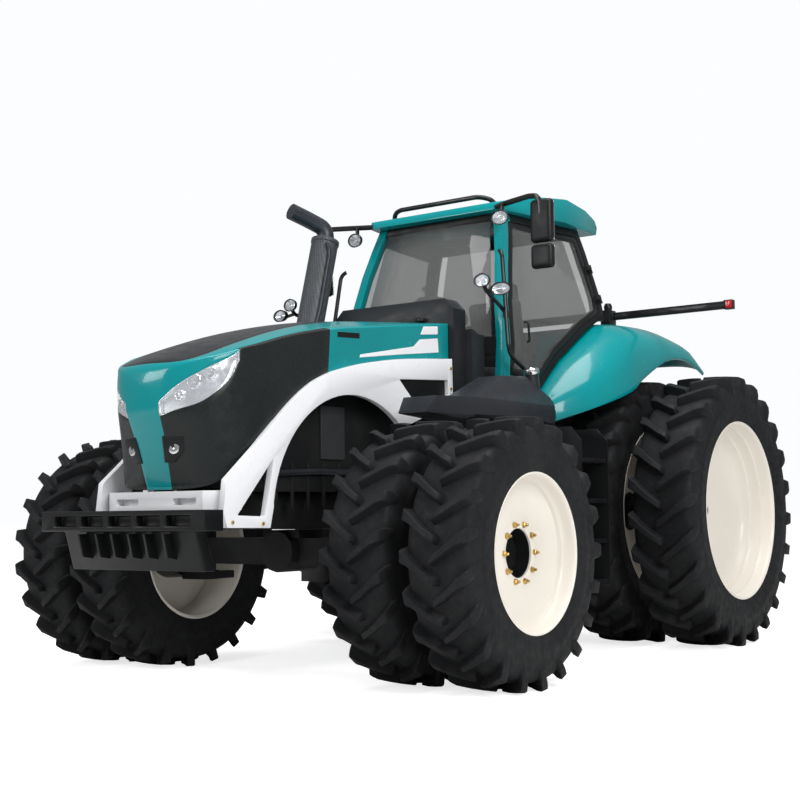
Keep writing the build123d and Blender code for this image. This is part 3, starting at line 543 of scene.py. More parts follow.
def lug(axle):
    """One lug standing on top of its tyre, drawn out station by station."""
    form = tyre_forms[axle]
    widen = form.lead / tyre_forms["front"].lead
    rows = []
    for across, top, root_across, root, ahead, wide, root_wide in lug_stations:
        row = []
        for share, depth, width in ((root_across, root, -root_wide), (across, top, -wide),
                                    (across, top, wide), (root_across, root, root_wide)):
            x = share * form.half / 1000
            radius = (form.tip - depth * (form.tip - form.tread)) / 1000
            turn = (ahead * form.lead + width / 2 * widen) / 1000 / radius
            row.append(Vector((x, radius * sin(turn), form.height + radius * cos(turn))))
        rows.append(row)
    return soften(beam("lug", rows), 0.003, 1, 25, 30)


def tyre(axle):
    """A tyre at the tractor's middle: its carcass and two staggered rows of lugs."""
    form, wall = tyre_forms[axle], tyre_walls[axle]
    centre = Vector((0, 0, form.height))
    section = wall + [(-x, r) for x, r in reversed(wall[:-1])]
    carcass = smoothed(turned("carcass", section, centre, TYRE_STEPS), 40)
    first = lug(axle)
    second = other_side(first, "lug_other_row")
    rows = [round_about(first, "row", form.lugs, centre),
            round_about(second, "other_row", form.lugs, centre, pi / form.lugs)]
    return together(f"tyre_{axle}", [carcass] + rows)


def rim(axle, wheel):
    flange, seat = rim_flanges[axle]
    section = flange + rim_dishes[axle, wheel] + [(-x, r) for x, r in [*reversed(flange), seat]] + [seat]
    centre = Vector((0, 0, tyre_forms[axle].height))
    return smoothed(turned(f"rim_{axle}_{wheel}", section, centre, RIM_STEPS), 32)


def wheel_nuts():
    """Zinc-plated nuts on their studs round the front wheel's centre hole."""
    centre = Vector((0, 0, FRONT_Z))
    nut = turned("nut", nut_section, centre + Vector((0, 0, NUT_CIRCLE / 1000)), 6, False)
    return round_about(smoothed(nut, 25), "wheel_nuts", NUTS, centre, pi / NUTS)


def at_wheel(obj, axle, side, wheel):
    """A copy of a piece made at the tractor's middle, at the inner or outer wheel of a side."""
    low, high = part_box(f"tyres_{axle}_{side}")
    half = tyre_forms[axle].half / 1000
    x = low.x + half if (side == "left") == (wheel == "inner") else high.x - half
    turn = Matrix.Identity(4) if side == "left" else FLIP
    return again(obj, obj.name, Matrix.Translation((x, (low.y + high.y) / 2, 0)) @ turn)


def dress_axle(axle):
    """Tyres, rims, hubs and nuts of an axle, both sides."""
    rubber_ring, nuts = tyre(axle), wheel_nuts() if axle == "front" else None
    rims = {wheel: rim(axle, wheel) for wheel in ("outer", "inner")}
    for side, sign in SIDES.items():
        body, node, tyre_node = f"wheel_{axle}_{side}", f"wheels_{axle}_{side}", f"tyres_{axle}_{side}"
        pair = together(f"dual_tyres_{axle}_{side}",
                        [at_wheel(rubber_ring, axle, side, wheel) for wheel in ("inner", "outer")])
        fit(pair, RUBBER, body, [tyre_node])
        for wheel, stands_for in (("outer", [node]), ("inner", ())):
            one = together(f"{wheel}_rim_{axle}_{side}", [at_wheel(rims[wheel], axle, side, wheel)])
            fit(one, CREAM, body, stands_for)
        section = [(sign * x, r) for x, r in hub_sections[axle]]
        centre = Vector((0, middle(tyre_node).y, tyre_forms[axle].height))
        hub = smoothed(turned(f"hub_{axle}_{side}", section, centre, HUB_STEPS, False), 30)
        fit(hub, hub_finish[axle], body)
        if nuts:
            fit(together(f"wheel_nuts_{side}", [at_wheel(nuts, axle, side, "outer")]), ZINC, body)
    for plain in (rubber_ring, nuts, *rims.values()):
        if plain:
            bpy.data.objects.remove(plain)


for axle in tyre_forms:
    dress_axle(axle)


# ---------------------------------------------------------------- bonnet
BONNET_HALF = 486
BONNET_LOW = 1150
# Plan of the bonnet's wall from the nose round to the rear: X, Y and how much of the nose's lean it takes
bonnet_plan = [
    (0, -1338, 1), (60, -1337, 1), (120, -1331, 1), (200, -1303, 0.9), (290, -1243, 0.65), (370, -1160, 0.4),
    (430, -1060, 0.18), (468, -950, 0.06), *((BONNET_HALF, y, 0) for y in (-840, -600, -261, 100, 600, 1084))]
# Height and how far back the nose leans there; then Y and the height of the crease and of the ridge
nose_lean = [(BONNET_LOW, 166), (1190, 148), (1430, 89), (1586, 19), (1700, 0), (1824, 10), (1872, 48)]
crease_line = [(-1338, 1770), (-963, 1937), (-587, 2056), (-181, 2150), (500, 2240), (1084, 2312)]
crown_line = [(-1290, 1872), (-960, 2010), (-570, 2130), (-181, 2215), (400, 2296), (1084, 2338)]
# The panel's columns: place along the plan, heights of the lower edge, the lamp's two edges and the crease,
# X and Y of the dark top panel's border, Y of the ridge. The stripe's and the seam's edges slant instead
Column = namedtuple("Column", "place low lamp_low lamp_high crease edge_x edge_y ridge_y")
bonnet_columns = [Column(*row) for row in (
    (0, BONNET_LOW, 1560, 1600, 1790, 0, -1288, -1110), (1, BONNET_LOW, 1562, 1602, 1792, 60, -1288, -1095),
    ("stripe", BONNET_LOW, 1575, 1600, 1795, 150, -1287, -1075),
    (3.1, 1153, 1594, 1712, 1812, 205, -1282, -1050), (4, 1160, 1604, 1796, 1842, 262, -1262, -1010),
    (4.6, 1172, 1622, 1845, 1872, 292, -1235, -985), (5.2, 1190, 1668, 1882, 1897, 312, -1195, -960),
    (5.8, 1245, 1726, 1904, 1915, 326, -1140, -930), (6.3, 1295, 1800, 1925, 1932, 333, -1090, -900),
    (6.6, 1335, 1925, 1938, 1945, 337, -1050, -880), (7, 1375, 1945, 1955, 1960, 338, -990, -850),
    (8, 1475, 1965, 1975, 1985, 332, -850, -760), (9, 1672, 2040, 2050, 2062, 305, -610, -560),
    ("seam", 1872, 2125, 2135, 2146, 235, -200, -200), (11, 1955, 2160, 2170, 2190, 190, 100, 100),
    (12, 2020, 2225, 2235, 2252, 262, 600, 600), (13, 2065, 2290, 2300, 2312, 262, 1084, 1084))]
STRIPE_AT, LAMP_END_AT, SEAM_AT, PATCH_END_AT = 2, 9, 13, 14
LAMP_ROW, CREASE_ROW, TOP_ROW = 3, 5, 6
STRIPE_X, STRIPE_SLANT = 81, 0.109
SEAM_Y, SEAM_Z, SEAM_SLANT = -225, 1872, 0.131
zone_finish = {"paint": TEAL, "grille": GRILLE, "lamp": CLEAR, "patch": PATCH}
# Projector lamps behind the lens: X, height, radius; how far behind it, and how much they turn to the front
projector_places = ((372, 1790, 40), (318, 1742, 44), (252, 1690, 32))
PROJECTOR_SUNK, PROJECTOR_TURN = 0.03, 1.2
TRAY_DEEP = 0.034
# Fog lamp: (x, z) outline of its surround, place of the lamp
FOG_SURROUND = [(108, 1452), (238, 1446), (226, 1362), (160, 1304), (92, 1302)]
FOG_X, FOG_Z = 168, 1385
# Flat marks on the bonnet's side: finish and (y, z) outline
side_marks = {
    "long_stripe": (WHITE, [(81, 1984), (92, 2004), (671, 2109), (742, 2163), (956, 2191), (966, 2096),
                            (500, 2040)]),
    "upper_mark": (WHITE, [(790, 2256), (958, 2274), (957, 2219), (754, 2198)]),
    "small_plate": (TRIM, [(-139, 2092), (-139, 2126), (83, 2138), (83, 2104)]),
}


def along(table, at):
    """A table of (place, value) read between its rows."""
    for (a, low), (b, high) in zip(table, table[1:]):
        if at <= b:
            break
    return low + (high - low) * max(0.0, min(1.0, (at - a) / (b - a)))


def top_z(x, y):
    low, high = along(crease_line, y), along(crown_line, y)
    return low + (high - low) * (1 - (x / BONNET_HALF) ** 2)


def plan_place(x):
    """Where along the plan the nose is x wide."""
    return along([(row[0], i) for i, row in enumerate(bonnet_plan[:7])], x)


def wall_place(place, z):
    """X and Y of the bonnet's wall at a place along its plan."""
    x, y, share = (along([(i, row[k]) for i, row in enumerate(bonnet_plan)], place) for k in range(3))
    return x, y + along(nose_lean, z) * share


def wall_point(place, z):
    if place == "seam":
        return mm(BONNET_HALF, SEAM_Y + (z - SEAM_Z) * SEAM_SLANT, z)
    if place == "stripe":
        place = plan_place(STRIPE_X + (z - BONNET_LOW) * STRIPE_SLANT)
    return mm(*wall_place(place, z), z)


def nose_y(x, z):
    return wall_place(plan_place(x), z)[1]


def bonnet_rows():
    """The half panel's rows from its lower edge up to the ridge, each running from the nose to the rear."""
    rows = [[wall_point(c.place, c.low + (c.lamp_low - c.low) * share) for c in bonnet_columns]
            for share in (0, 0.34, 0.67)]
    rows += [[wall_point(c.place, getattr(c, height)) for c in bonnet_columns]
             for height in ("lamp_low", "lamp_high", "crease")]
    for share in (0, 0.5, 1):
        row = []
        for c in bonnet_columns:
            x, y = c.edge_x * (1 - share), c.edge_y + (c.ridge_y - c.edge_y) * share
            row.append(mm(x, y, top_z(x, y)))
        rows.append(row)
    return rows


def bonnet_zone(column, row):
    if row >= TOP_ROW:
        return "patch" if column < PATCH_END_AT else "paint"
    if column < STRIPE_AT or column >= SEAM_AT or row == CREASE_ROW:
        return "paint"
    if row < LAMP_ROW or column >= LAMP_END_AT:
        return "grille"
    return "lamp" if row == LAMP_ROW else "paint"


def bonnet_panels():
    """The whole bonnet drawn as one smooth panel, then parted into its zones."""
    rows = bonnet_rows()
    obj = grid("bonnet_panels", rows)
    wide = len(rows[0])
    zones = list(zone_finish)
    for finish in zone_finish.values():
        obj.data.materials.append(finish)
    for face in obj.data.polygons:
        low = min(face.vertices)
        face.material_index = zones.index(bonnet_zone(low % wide, low // wide))
    use(obj, "MIRROR", use_axis=(True, False, False), use_clip=True, merge_threshold=0.0005)
    open_up(obj)
    bpy.ops.mesh.normals_make_consistent(inside=False)
    bpy.ops.object.mode_set(mode="OBJECT")
    if obj.data.polygons[0].normal.y > 0:
        obj.data.flip_normals()
    use(obj, "SUBSURF", levels=2, render_levels=2, boundary_smooth="PRESERVE_CORNERS")
    open_up(obj)
    bpy.ops.mesh.separate(type="MATERIAL")
    bpy.ops.object.mode_set(mode="OBJECT")
    found = {}
    for part in list(bpy.context.selected_objects):
        found[part.data.materials[part.data.polygons[0].material_index].name] = part
    return [found[finish.name] for finish in zone_finish.values()]


def lamp_tray(lens):
    """Chrome dish behind a lens: its skin drawn inwards, with the front left open."""
    tray = again(lens, "headlight_trays", Matrix.Identity(4))
    front = len(tray.data.polygons)
    use(tray, "SOLIDIFY", thickness=TRAY_DEEP, offset=-1, use_even_offset=False)
    open_up(tray)
    choose(tray, lambda faces: faces[:front])
    bpy.ops.mesh.delete(type="FACE")
    return smoothed(tray, 50)


def projectors(lens):
    """Round projector lamps sunk behind the lens."""
    parts = []
    for x, z, size in projector_places:
        near = min((v for v in lens.data.vertices if v.co.x > 0),
                   key=lambda v: abs(v.co.x * 1000 - x) + abs(v.co.z * 1000 - z))
        way = (near.normal + Vector((0, -PROJECTOR_TURN, 0))).normalized()
        centre = near.co - near.normal * PROJECTOR_SUNK
        section = [(-6, 0.5), (-6, size), (14, size), (18, size - 4), (14, size - 8), (2, size - 12),
                   (2, size * 0.55), (12, size * 0.34), (15, 0.5)]
        parts.append(aimed(turned("projector", section, centre, 28), centre, way))
    return smoothed(both_sides("headlight_projectors", parts))


def fog_lamps():
    """Round lamps low in the nose, each on a five-sided plate."""
    outline = [mm(x, nose_y(x, z) - 6, z) for x, z in FOG_SURROUND]
    surround = soften(plate("fog_lamp_surround", outline, Vector((0, 0.02, 0))), 0.003)
    centre = mm(FOG_X, nose_y(FOG_X, FOG_Z) - 4, FOG_Z)
    glass = turned("fog_lamp", [(0, 0.5), (5, 20), (0, 36), (-12, 40), (-12, 0.5)], centre, 28)
    smoothed(aimed(glass, centre, (0.2, -1, 0)))
    fit(both_sides("fog_lamp_surrounds", [surround]), TRIM, "bonnet")
    fit(both_sides("fog_lamps", [glass]), CHROME, "bonnet")


def dress_bonnet():
    paint, grille, lens, patch = bonnet_panels()
    tray = lamp_tray(lens)
    lamps = projectors(lens)
    for part, name, finish, wall, edge, stands_for in (
            (paint, "bonnet_skin", TEAL, 0.012, 0.0025, ("bonnet_shell",)),
            (grille, "bonnet_grille_panels", GRILLE, 0.012, 0.0025, ("bonnet_grilles",)),
            (patch, "bonnet_top_patch", PATCH, 0.008, 0.002, ()),
            (lens, "headlight_lenses", CLEAR, 0.003, 0.001, ("headlights",))):
        part.name = name
        use(part, "SOLIDIFY", thickness=wall, offset=-1, use_even_offset=True)
        soften(part, edge, 2, 45, 50)
        fit(part, finish, "bonnet", stands_for=stands_for)
    fit(use(tray, "SOLIDIFY", thickness=0.002, offset=-1, use_even_offset=False), CHROME, "bonnet")
    fit(lamps, CHROME, "bonnet")
    fog_lamps()
    for name, (finish, outline) in side_marks.items():
        mark = soften(side_plate(name, BONNET_HALF - 2, outline, 3.5), 0.001, 1)
        fit(both_sides(name + "s", [mark]), finish, "bonnet")
    eye = turned("bonnet_eye", [(-20, 10), (-20, 18), (20, 18), (20, 10)], mm(250, 1074, 2352), 24)
    fit(soften(both_sides("bonnet_hinge_eyes", [eye]), 0.0015), BLACK, "bonnet")


dress_bonnet()


# ---------------------------------------------------------------- castings and sheet parts with rounded edges
# Plain node, the piece's name, radius of its edges, finish, body
rounded_parts = [
    ("front_frame", "front_casting", 12, CHASSIS, "chassis"),
    ("weight_carrier", "weight_bar", 7, CARRIER, "chassis"),
    ("front_axle", "front_axle_casting", 12, CHASSIS, "chassis"),
    ("engine", "engine_block", 14, IRON, "chassis"),
    ("transmission", "gearbox_casting", 12, CHASSIS, "chassis"),
    ("drawbar", "drawbar_forging", 5, CHASSIS, "chassis"),
    ("cowl", "cowl_moulding", 26, COWLING, "chassis"),
    ("bumper", "bumper_moulding", 9, WHITE, "chassis"),
    ("cab_base", "cab_floor_pan", 8, COWLING, "chassis"),
    ("roof", "roof_shell", 30, TEAL, "chassis"),
    ("ladders", "ladder_steps", 3, BLACK, "chassis"),
    ("side_tanks", "tank_and_toolbox", 24, TANK, "chassis"),
    ("marker_arms", "marker_lamp_arms", 5, BLACK, "chassis"),
    ("door_frame_left", "door_surround_left", 7, BLACK, "door_left"),
    ("door_frame_right", "door_surround_right", 7, BLACK, "door_right"),
    ("knuckle_left", "steering_knuckle_left", 9, CHASSIS, "knuckle_left"),
    ("knuckle_right", "steering_knuckle_right", 9, CHASSIS, "knuckle_right"),
    ("lower_links", "lower_link_bars", 6, CHASSIS, "lower_links"),
    ("lift_arms", "lift_arm_forging", 6, CHASSIS, "lift_arms"),
    ("lift_rods", "lift_rod_pair", 4, CHASSIS, "lift_rods"),
    ("controls", "dash_and_console", 14, INSIDE, "chassis"),
]
glass_parts = [
    ("cab_glass", "cab_panes", "chassis"),
    ("door_glass_left", "door_pane_left", "door_left"),
    ("door_glass_right", "door_pane_right", "door_right"),
]
# The front posts end at POST_BACK; what stands over HEADER_LOW between them is the header
POST_BACK, HEADER_LOW, HEADER_HALF = 1790, 3128, 490


def copied(node, name, width, flat=2, smooth=30, segments=2):
    """A copy of a plain node, its doubles merged and flats joined, with rounded edges."""
    obj = bpy.data.objects.new(name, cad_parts[node].data.copy())
    bpy.context.scene.collection.objects.link(obj)
    open_up(obj)
    weld(0.0001)
    bpy.ops.mesh.dissolve_limited(angle_limit=radians(flat))
    return soften(obj, width, segments, 25, smooth)


def dress_posts():
    """The cab's posts: the front ones painted, the header and all behind them black."""
    posts = copied("cab_frame", "cab_posts", 0.009)
    back, header = mm(0, POST_BACK, 0), mm(0, 0, HEADER_LOW)
    open_up(posts)
    for place, across in ((back, (0, 1, 0)), (header, (0, 0, 1))):
        bpy.ops.mesh.select_all(action="SELECT")
        bpy.ops.mesh.bisect(plane_co=place, plane_no=across)

    def is_black(face):
        centre = face.calc_center_median()
        return centre.y > back.y or (centre.z > header.z and abs(centre.x) < HEADER_HALF / 1000)

    choose(posts, lambda faces: [face for face in faces if is_black(face)])
    bpy.ops.mesh.separate(type="SELECTED")
    bpy.ops.object.mode_set(mode="OBJECT")
    rear = next(obj for obj in bpy.context.selected_objects if obj is not posts)
    rear.name = "cab_rear_posts"
    for piece, finish in ((posts, TEAL), (rear, TRIM)):
        fit(piece, finish, "chassis", stands_for=("cab_frame",))


for node, name, width, finish, body in rounded_parts:
    fit(copied(node, name, width / 1000), finish, body, stands_for=(node,))
dress_posts()


# ---------------------------------------------------------------- side frames
FRAME_IN, FRAME_OUT = 478, 518
ARCH_R, ARCH_Y, ARCH_Z = 770, -10, 969
# The (y, z) upper edge, the rear leg down to the wheel arch, and the foot in front of it
band_line = [(-1165, 1198), (-937, 1382), (-763, 1534), (-589, 1677), (-425, 1784), (-261, 1856),
             (-100, 1902), (60, 1939), (270, 1976), (480, 2006), (780, 2034), (1084, 2059)]
frame_leg = [(1090, 1809), (857, 1678), (600, 1590), (500, 1578)]
frame_foot = [(-772, 1050), (-803, 927), (-1157, 932), (-1189, 1017)]
# Openings: (y, z) outline and radius of the corners; then the sheet behind the rear one
frame_openings = [
    ([(-770, 1331), (-1080, 1000), (-845, 992)], 0.014),
    ([(461, 1873), (1030, 1908), (1030, 1800), (860, 1712), (638, 1726)], 0.016),
]
frame_back = [(440, 1850), (440, 1890), (1050, 1925), (1050, 1780), (860, 1700), (620, 1710)]


def flowing(points, steps=5):
    """Places along a smooth curve through points."""
    def between(p, q, r, s, t):
        bend, twist = 2 * p - 5 * q + 4 * r - s, 3 * q - p - 3 * r + s
        return 0.5 * (2 * q + (r - p) * t + bend * t * t + twist * t ** 3)

    ends = [points[0], *points, points[-1]]
    line = []
    for four in zip(ends, ends[1:], ends[2:], ends[3:]):
        line += [tuple(between(*values, i / steps) for values in zip(*four)) for i in range(steps)]
    return line + [points[-1]]


def side_frame():
    turns = [radians(a) for a in range(52, 173, 5)]
    arch = [(ARCH_Y + ARCH_R * cos(turn), ARCH_Z + ARCH_R * sin(turn)) for turn in turns]
    outline = flowing(band_line) + frame_leg + arch + frame_foot
    obj = side_plate("side_frame_left_dressed", FRAME_IN, outline, FRAME_OUT - FRAME_IN)
    for opening, corner in frame_openings:
        cutter = side_plate("cutter", FRAME_IN - 30, opening, FRAME_OUT - FRAME_IN + 60)
        round_edges(cutter, corner, 4, 25)
        use(obj, "BOOLEAN", object=cutter, operation="DIFFERENCE", solver="EXACT")
        bpy.data.objects.remove(cutter)
    return soften(obj, 0.012, 3, 30, 40)


def dress_side_frames():
    left = side_frame()
    right = other_side(left, "side_frame_right_dressed")
    fit(left, WHITE, "chassis", stands_for=("side_frame_left",))
    fit(right, WHITE, "chassis", stands_for=("side_frame_right",))
    back = soften(side_plate("side_frame_back", FRAME_IN + 6, frame_back, 6), 0.001, 1)
    fit(both_sides("side_frame_backs", [back]), TRIM, "chassis")


# ---------------------------------------------------------------- rear fenders
# Y of a section, then (x, z) from its inner edge over the top down to its lower outer edge
fender_rows = [
    (1840, (650, 1835), (790, 1832), (850, 1815), (890, 1760), (900, 1666)),
    (2115, (650, 2105), (840, 2095), (960, 2040), (1060, 1930), (1100, 1775)),
    (2490, (650, 2350), (820, 2345), (980, 2305), (1120, 2180), (1180, 1909)),
    (2690, (650, 2448), (800, 2445), (980, 2400), (1125, 2280), (1180, 2015)),
    (3100, (650, 2465), (850, 2462), (1000, 2425), (1130, 2330), (1180, 2180)),
    (3412, (650, 2440), (900, 2436), (1020, 2400), (1135, 2320), (1180, 2222)),
    (3640, (650, 2380), (900, 2376), (1030, 2345), (1140, 2285), (1180, 2190)),
    (3830, (650, 2220), (900, 2218), (1040, 2205), (1140, 2175), (1180, 2130)),
]
LIP_IN, LIP_DOWN = 12, 22
# The wall that closes the fender's front, in (x, z), and the one between cab and wheel, in (y, z)
FENDER_FRONT_Y, LINER_X = 1846, 655
fender_front = [(655, 1806), (785, 1803), (840, 1788), (868, 1745), (872, 1672), (655, 1672)]
fender_liner = [(2756, 2420), (3100, 2436), (3412, 2410), (3630, 2352), (3815, 2200), (3790, 2130),
                (3400, 2060), (2756, 2020)]


def fender():
    """Skin of the left fender, its lower edge turned in."""
    sections = []
    for y, *line in fender_rows:
        lip = (line[-1][0] - LIP_IN, line[-1][1] - LIP_DOWN)
        sections.append([(x, y, z) for x, z in [*line, lip]])
    lengthwise = [flowing(list(line), 3) for line in zip(*sections)]
    obj = grid("fender_skin", [places(*flowing(list(section), 3)) for section in zip(*lengthwise)])
    if obj.data.polygons[0].normal.z < 0:
        obj.data.flip_normals()
    use(obj, "SOLIDIFY", thickness=0.026, offset=-1, use_even_offset=True)
    return soften(obj, 0.006, 3, 50, 55)


def dress_fenders():
    skin = fender()
    front = plate("fender_front", [mm(x, FENDER_FRONT_Y, z) for x, z in fender_front], Vector((0, 0.03, 0)))
    left = together("fender_skin_left", [skin, soften(front, 0.003)])
    right = other_side(left, "fender_skin_right")
    fit(both_sides("fender_liners", [side_plate("fender_liner", LINER_X, fender_liner, 5)]), TRIM, "chassis")
    fit(left, TEAL, "chassis", stands_for=("fender_left",))
    fit(right, TEAL, "chassis", stands_for=("fender_right",))


dress_side_frames()
dress_fenders()


# ---------------------------------------------------------------- glass, seat and steering wheel
# Half width, length, thickness, the seams' places along it, then the pad's middle and its lean in degrees
pads = {
    "seat_cushion": (0.245, 0.49, 0.12, (-0.09, 0.09), (0, 2300, 1985), 0),
    "seat_backrest": (0.235, 0.62, 0.11, (-0.12, 0.05), (0, 2585, 2385), 100),
    "seat_headrest": (0.14, 0.16, 0.09, (), (0, 2652, 2758), 100),
}
SEAM_WIDTH, SEAM_DEPTH, SIDE_SEAM_AT = 0.014, 0.014, 0.66
# Edge and crown as shares of a pad's thickness; how much its sides and its ends pull in between the corners
PAD_EDGE, PAD_CROWN, SIDES_PULL, ENDS_PULL = 0.42, 0.22, 0.035, 0.03
STEERING_CENTRE, STEERING_AIM = (0, 1706, 2491), (0, 0.5, 0.87)
RIM_R, RIM_WIDE, RIM_HIGH = 202, 13, 15


def cushion(name, half_width, length, thick, seams):
    """Crowned pad: its sides pull in between the corners and seams cross its top."""
    corner = Vector((half_width, length / 2, thick))
    obj = box(name, Vector((-corner.x, -corner.y, 0)), corner, thick * PAD_EDGE, 5)
    open_up(obj)
    weld(0.0001)
    use(obj, "REMESH", mode="VOXEL", voxel_size=0.008)
    for v in obj.data.vertices:
        x, y = v.co.x / half_width, v.co.y / (length / 2)
        crown = (1 - min(1, x * x)) * (1 - min(1, y * y))
        lift = v.co.z / thick
        v.co.z += PAD_CROWN * thick * crown * lift
        v.co.x *= 1 - SIDES_PULL * (1 - y * y)
        v.co.y *= 1 - ENDS_PULL * (1 - x * x)
        across = max([0] + [1 - abs(v.co.y - seam) / SEAM_WIDTH for seam in seams]) * (abs(x) < SIDE_SEAM_AT)
        side = max(0, 1 - abs(abs(x) - SIDE_SEAM_AT) * half_width / SEAM_WIDTH)
        v.co.z -= SEAM_DEPTH * lift * max(across, side)
    return use(obj, "SMOOTH", factor=0.5, iterations=2)


def dress_seat():
    base = block("seat_base", (-180, 2150, 1662), (180, 2500, 1990), 0.02)
    fit(base, TRIM, "chassis", stands_for=("seat",))
    for name, (half_width, length, thick, seams, place, lean) in pads.items():
        pad = cushion(name, half_width, length, thick, seams)
        pad.data.transform(Matrix.Translation(mm(*place)) @ Matrix.Rotation(radians(lean), 4, "X"))
        fit(smoothed(pad, 60), FABRIC, "chassis")


def steering_wheel():
    """Round rim and hub cap over the column."""
    centre = mm(*STEERING_CENTRE)
    turns = [tau * i / 12 for i in range(12)]
    section = [(RIM_WIDE * cos(turn), RIM_R + RIM_HIGH * sin(turn)) for turn in turns]
    cap = turned("steering_cap", [(-10, 0.5), (-10, 62), (8, 60), (18, 44), (20, 0.5)], centre, 32)
    wheel = together("steering_rim", [turned("steering_rim", section, centre), cap])
    return smoothed(aimed(wheel, centre, STEERING_AIM), 40)


for node, name, body in glass_parts:
    fit(copied(node, name, 0.0008, 0.2, 40, 1), GLASS, body, stands_for=(node,))
dress_seat()
fit(steering_wheel(), TRIM, "chassis")


# ---------------------------------------------------------------- lamps, mirrors, rails
# Place, aim, radius, and how many times wider than high
round_lamps = {
    "work_lamp": ((657, 1512, 3105), (0.12, -1, -0.12), 54, 1.3),
    "round_lamp": ((846, 962, 2555), (0.1, -1, 0), 48, 1.3),
    "side_lamp": ((975, 996, 2490), (0.35, -1, 0), 46, 1.7),
}
LAMP_DEEP = 46
MIRROR_IN, MIRROR_OUT = 905, 1080
STACK_FOOT, STACK_HEAD = mm(-662, 853, 1950), mm(-662, 1162, 3045)
MARKER_IN, MARKER_OUT, MARKER_LOW, MARKER_HIGH = 1716, 1768, 2522, 2578


def round_lamp(name, place, way, size, wide):
    """Housing, lens and dish of a round lamp."""
    deep = LAMP_DEEP
    sections = [
        [(-deep, 0.5), (-deep, size * 0.45), (-deep * 0.5, size * 0.9), (0, size), (3, size - 2),
         (0, size - 6), (-8, size - 9), (-deep * 0.6, size * 0.4), (-deep * 0.6, 0.5)],
        [(-2, 0.5), (2, size * 0.5), (-3, size - 6), (-6, size - 6), (-4, 0.5)],
        [(-deep * 0.55, 0.5), (-deep * 0.55, size * 0.38), (-9, size - 10), (-7, size - 10),
         (-deep * 0.48, size * 0.36), (-deep * 0.3, size * 0.2), (-deep * 0.25, 0.5)]]
    widen = Matrix.Translation(place) @ Matrix.Diagonal((wide, 1, 1, 1)) @ Matrix.Translation(-place)
    pieces = [smoothed(aimed(turned(name, section, place, 32), place, way)) for section in sections]
    for piece in pieces:
        piece.data.transform(widen)
    return pieces


def dress_lamps():
    made = [round_lamp(name, mm(*place), *rest) for name, (place, *rest) in round_lamps.items()]
    arms = [
        pipe("lamp_arm", places((706, 1500, 2400), (770, 1300, 2440), (846, 1010, 2492), (846, 990, 2530)),
             0.014, 0.03),
        pipe("lamp_arm_end", places((846, 1010, 2492), (930, 1014, 2478), (975, 1015, 2480)), 0.012, 0.02),
        block("lamp_foot", (690, 1480, 2375), (722, 1530, 2425), 0.005)]
    fit(both_sides("lamp_brackets_dressed", arms), BLACK, "chassis", stands_for=("lamp_brackets",))
    names = {"lamp_housings": BLACK, "lamp_lenses": CLEAR, "lamp_dishes": CHROME}
    for (name, finish), parts in zip(names.items(), zip(*made)):
        fit(both_sides(name, list(parts)), finish, "chassis")


def dress_mirrors():
    bends = ((540, 1640, 3215), (700, 1560, 3215), (924, 1520, 3228), (990, 1512, 3205), (990, 1530, 2900))
    arm = pipe("mirror_arm", places(*bends), 0.02, 0.05)
    hanger = block("lamp_hanger", (648, 1535, 3120), (666, 1566, 3212), 0.004)
    heads = [block("mirror_head", (MIRROR_IN, 1500, 2884), (MIRROR_OUT, 1572, 3192), 0.032),
             block("mirror_head_low", (MIRROR_IN, 1504, 2700), (MIRROR_OUT, 1574, 2872), 0.03)]
    panes = [block("mirror_pane", (MIRROR_IN + 12, 1568, 2900), (MIRROR_OUT - 12, 1577, 3178), 0.0035),
             block("mirror_pane_low", (MIRROR_IN + 12, 1570, 2714), (MIRROR_OUT - 12, 1579, 2860), 0.0035)]
    fit(both_sides("mirror_arms", [arm, hanger]), BLACK, "chassis", stands_for=("mirrors",))
    fit(both_sides("mirror_heads", heads), TRIM, "chassis")
    fit(both_sides("mirror_panes", panes), CHROME, "chassis")


def dress_rails():
    half = [(464, 1790, 3238), (464, 1768, 3300), (377, 1697, 3332)]
    rail = pipe("roof_rail_tube", places(*half, *[(-x, y, z) for x, y, z in reversed(half)]), 0.018, 0.05, 4)
    feet = both_sides("rail_feet", [block("rail_foot", (440, 1764, 3226), (488, 1814, 3250), 0.006)])
    fit(together("roof_rail_tube", [rail, feet]), BLACK, "chassis", stands_for=("roof_rail",))
    bends = ((690, 1452, 2850), (722, 1430, 2840), (802, 1366, 2130), (806, 1400, 2080), (802, 1630, 1985),
             (790, 1650, 1905))
    grab = pipe("grab_rail", places(*bends), 0.015, 0.05, 4)
    fit(both_sides("grab_rails", [grab]), BLACK, "chassis")


def dress_stack():
    """Exhaust stack: a pierced sheath with end collars, the bent tail pipe, a thin pipe and a bracket."""
    up = (STACK_HEAD - STACK_FOOT).normalized()
    tall = (STACK_HEAD - STACK_FOOT).length * 1000
    section = [(0, 60), (0, 106), (26, 106), (30, 101)]
    section += [(tall - x, r) for x, r in reversed(section)]
    sheath = smoothed(aimed(turned("stack_sheath", section, STACK_FOOT), STACK_FOOT, up))
    turn = STACK_HEAD + up * 0.09
    bends = [STACK_HEAD - up * 0.02]
    bends += [turn + Vector(way) for way in ((0, 0, 0), (-0.06, -0.13, 0.06), (-0.11, -0.29, 0.11))]
    tail = pipe("stack_pipe", bends, 0.062, 0.07, 5)
    bends = places((-560, 900, 2330), (-556, 960, 2480), (-556, 1088, 2960), (-570, 1060, 3010))
    thin = pipe("stack_side_pipe", bends, 0.014, 0.05, 4)
    hold = block("stack_bracket", (-602, 930, 2290), (-523, 1180, 2340), 0.008)
    fit(sheath, SHEATH, "chassis", stands_for=("exhaust",))
    fit(together("stack_pipes", [smoothed(tail), smoothed(thin), hold]), STACK, "chassis")


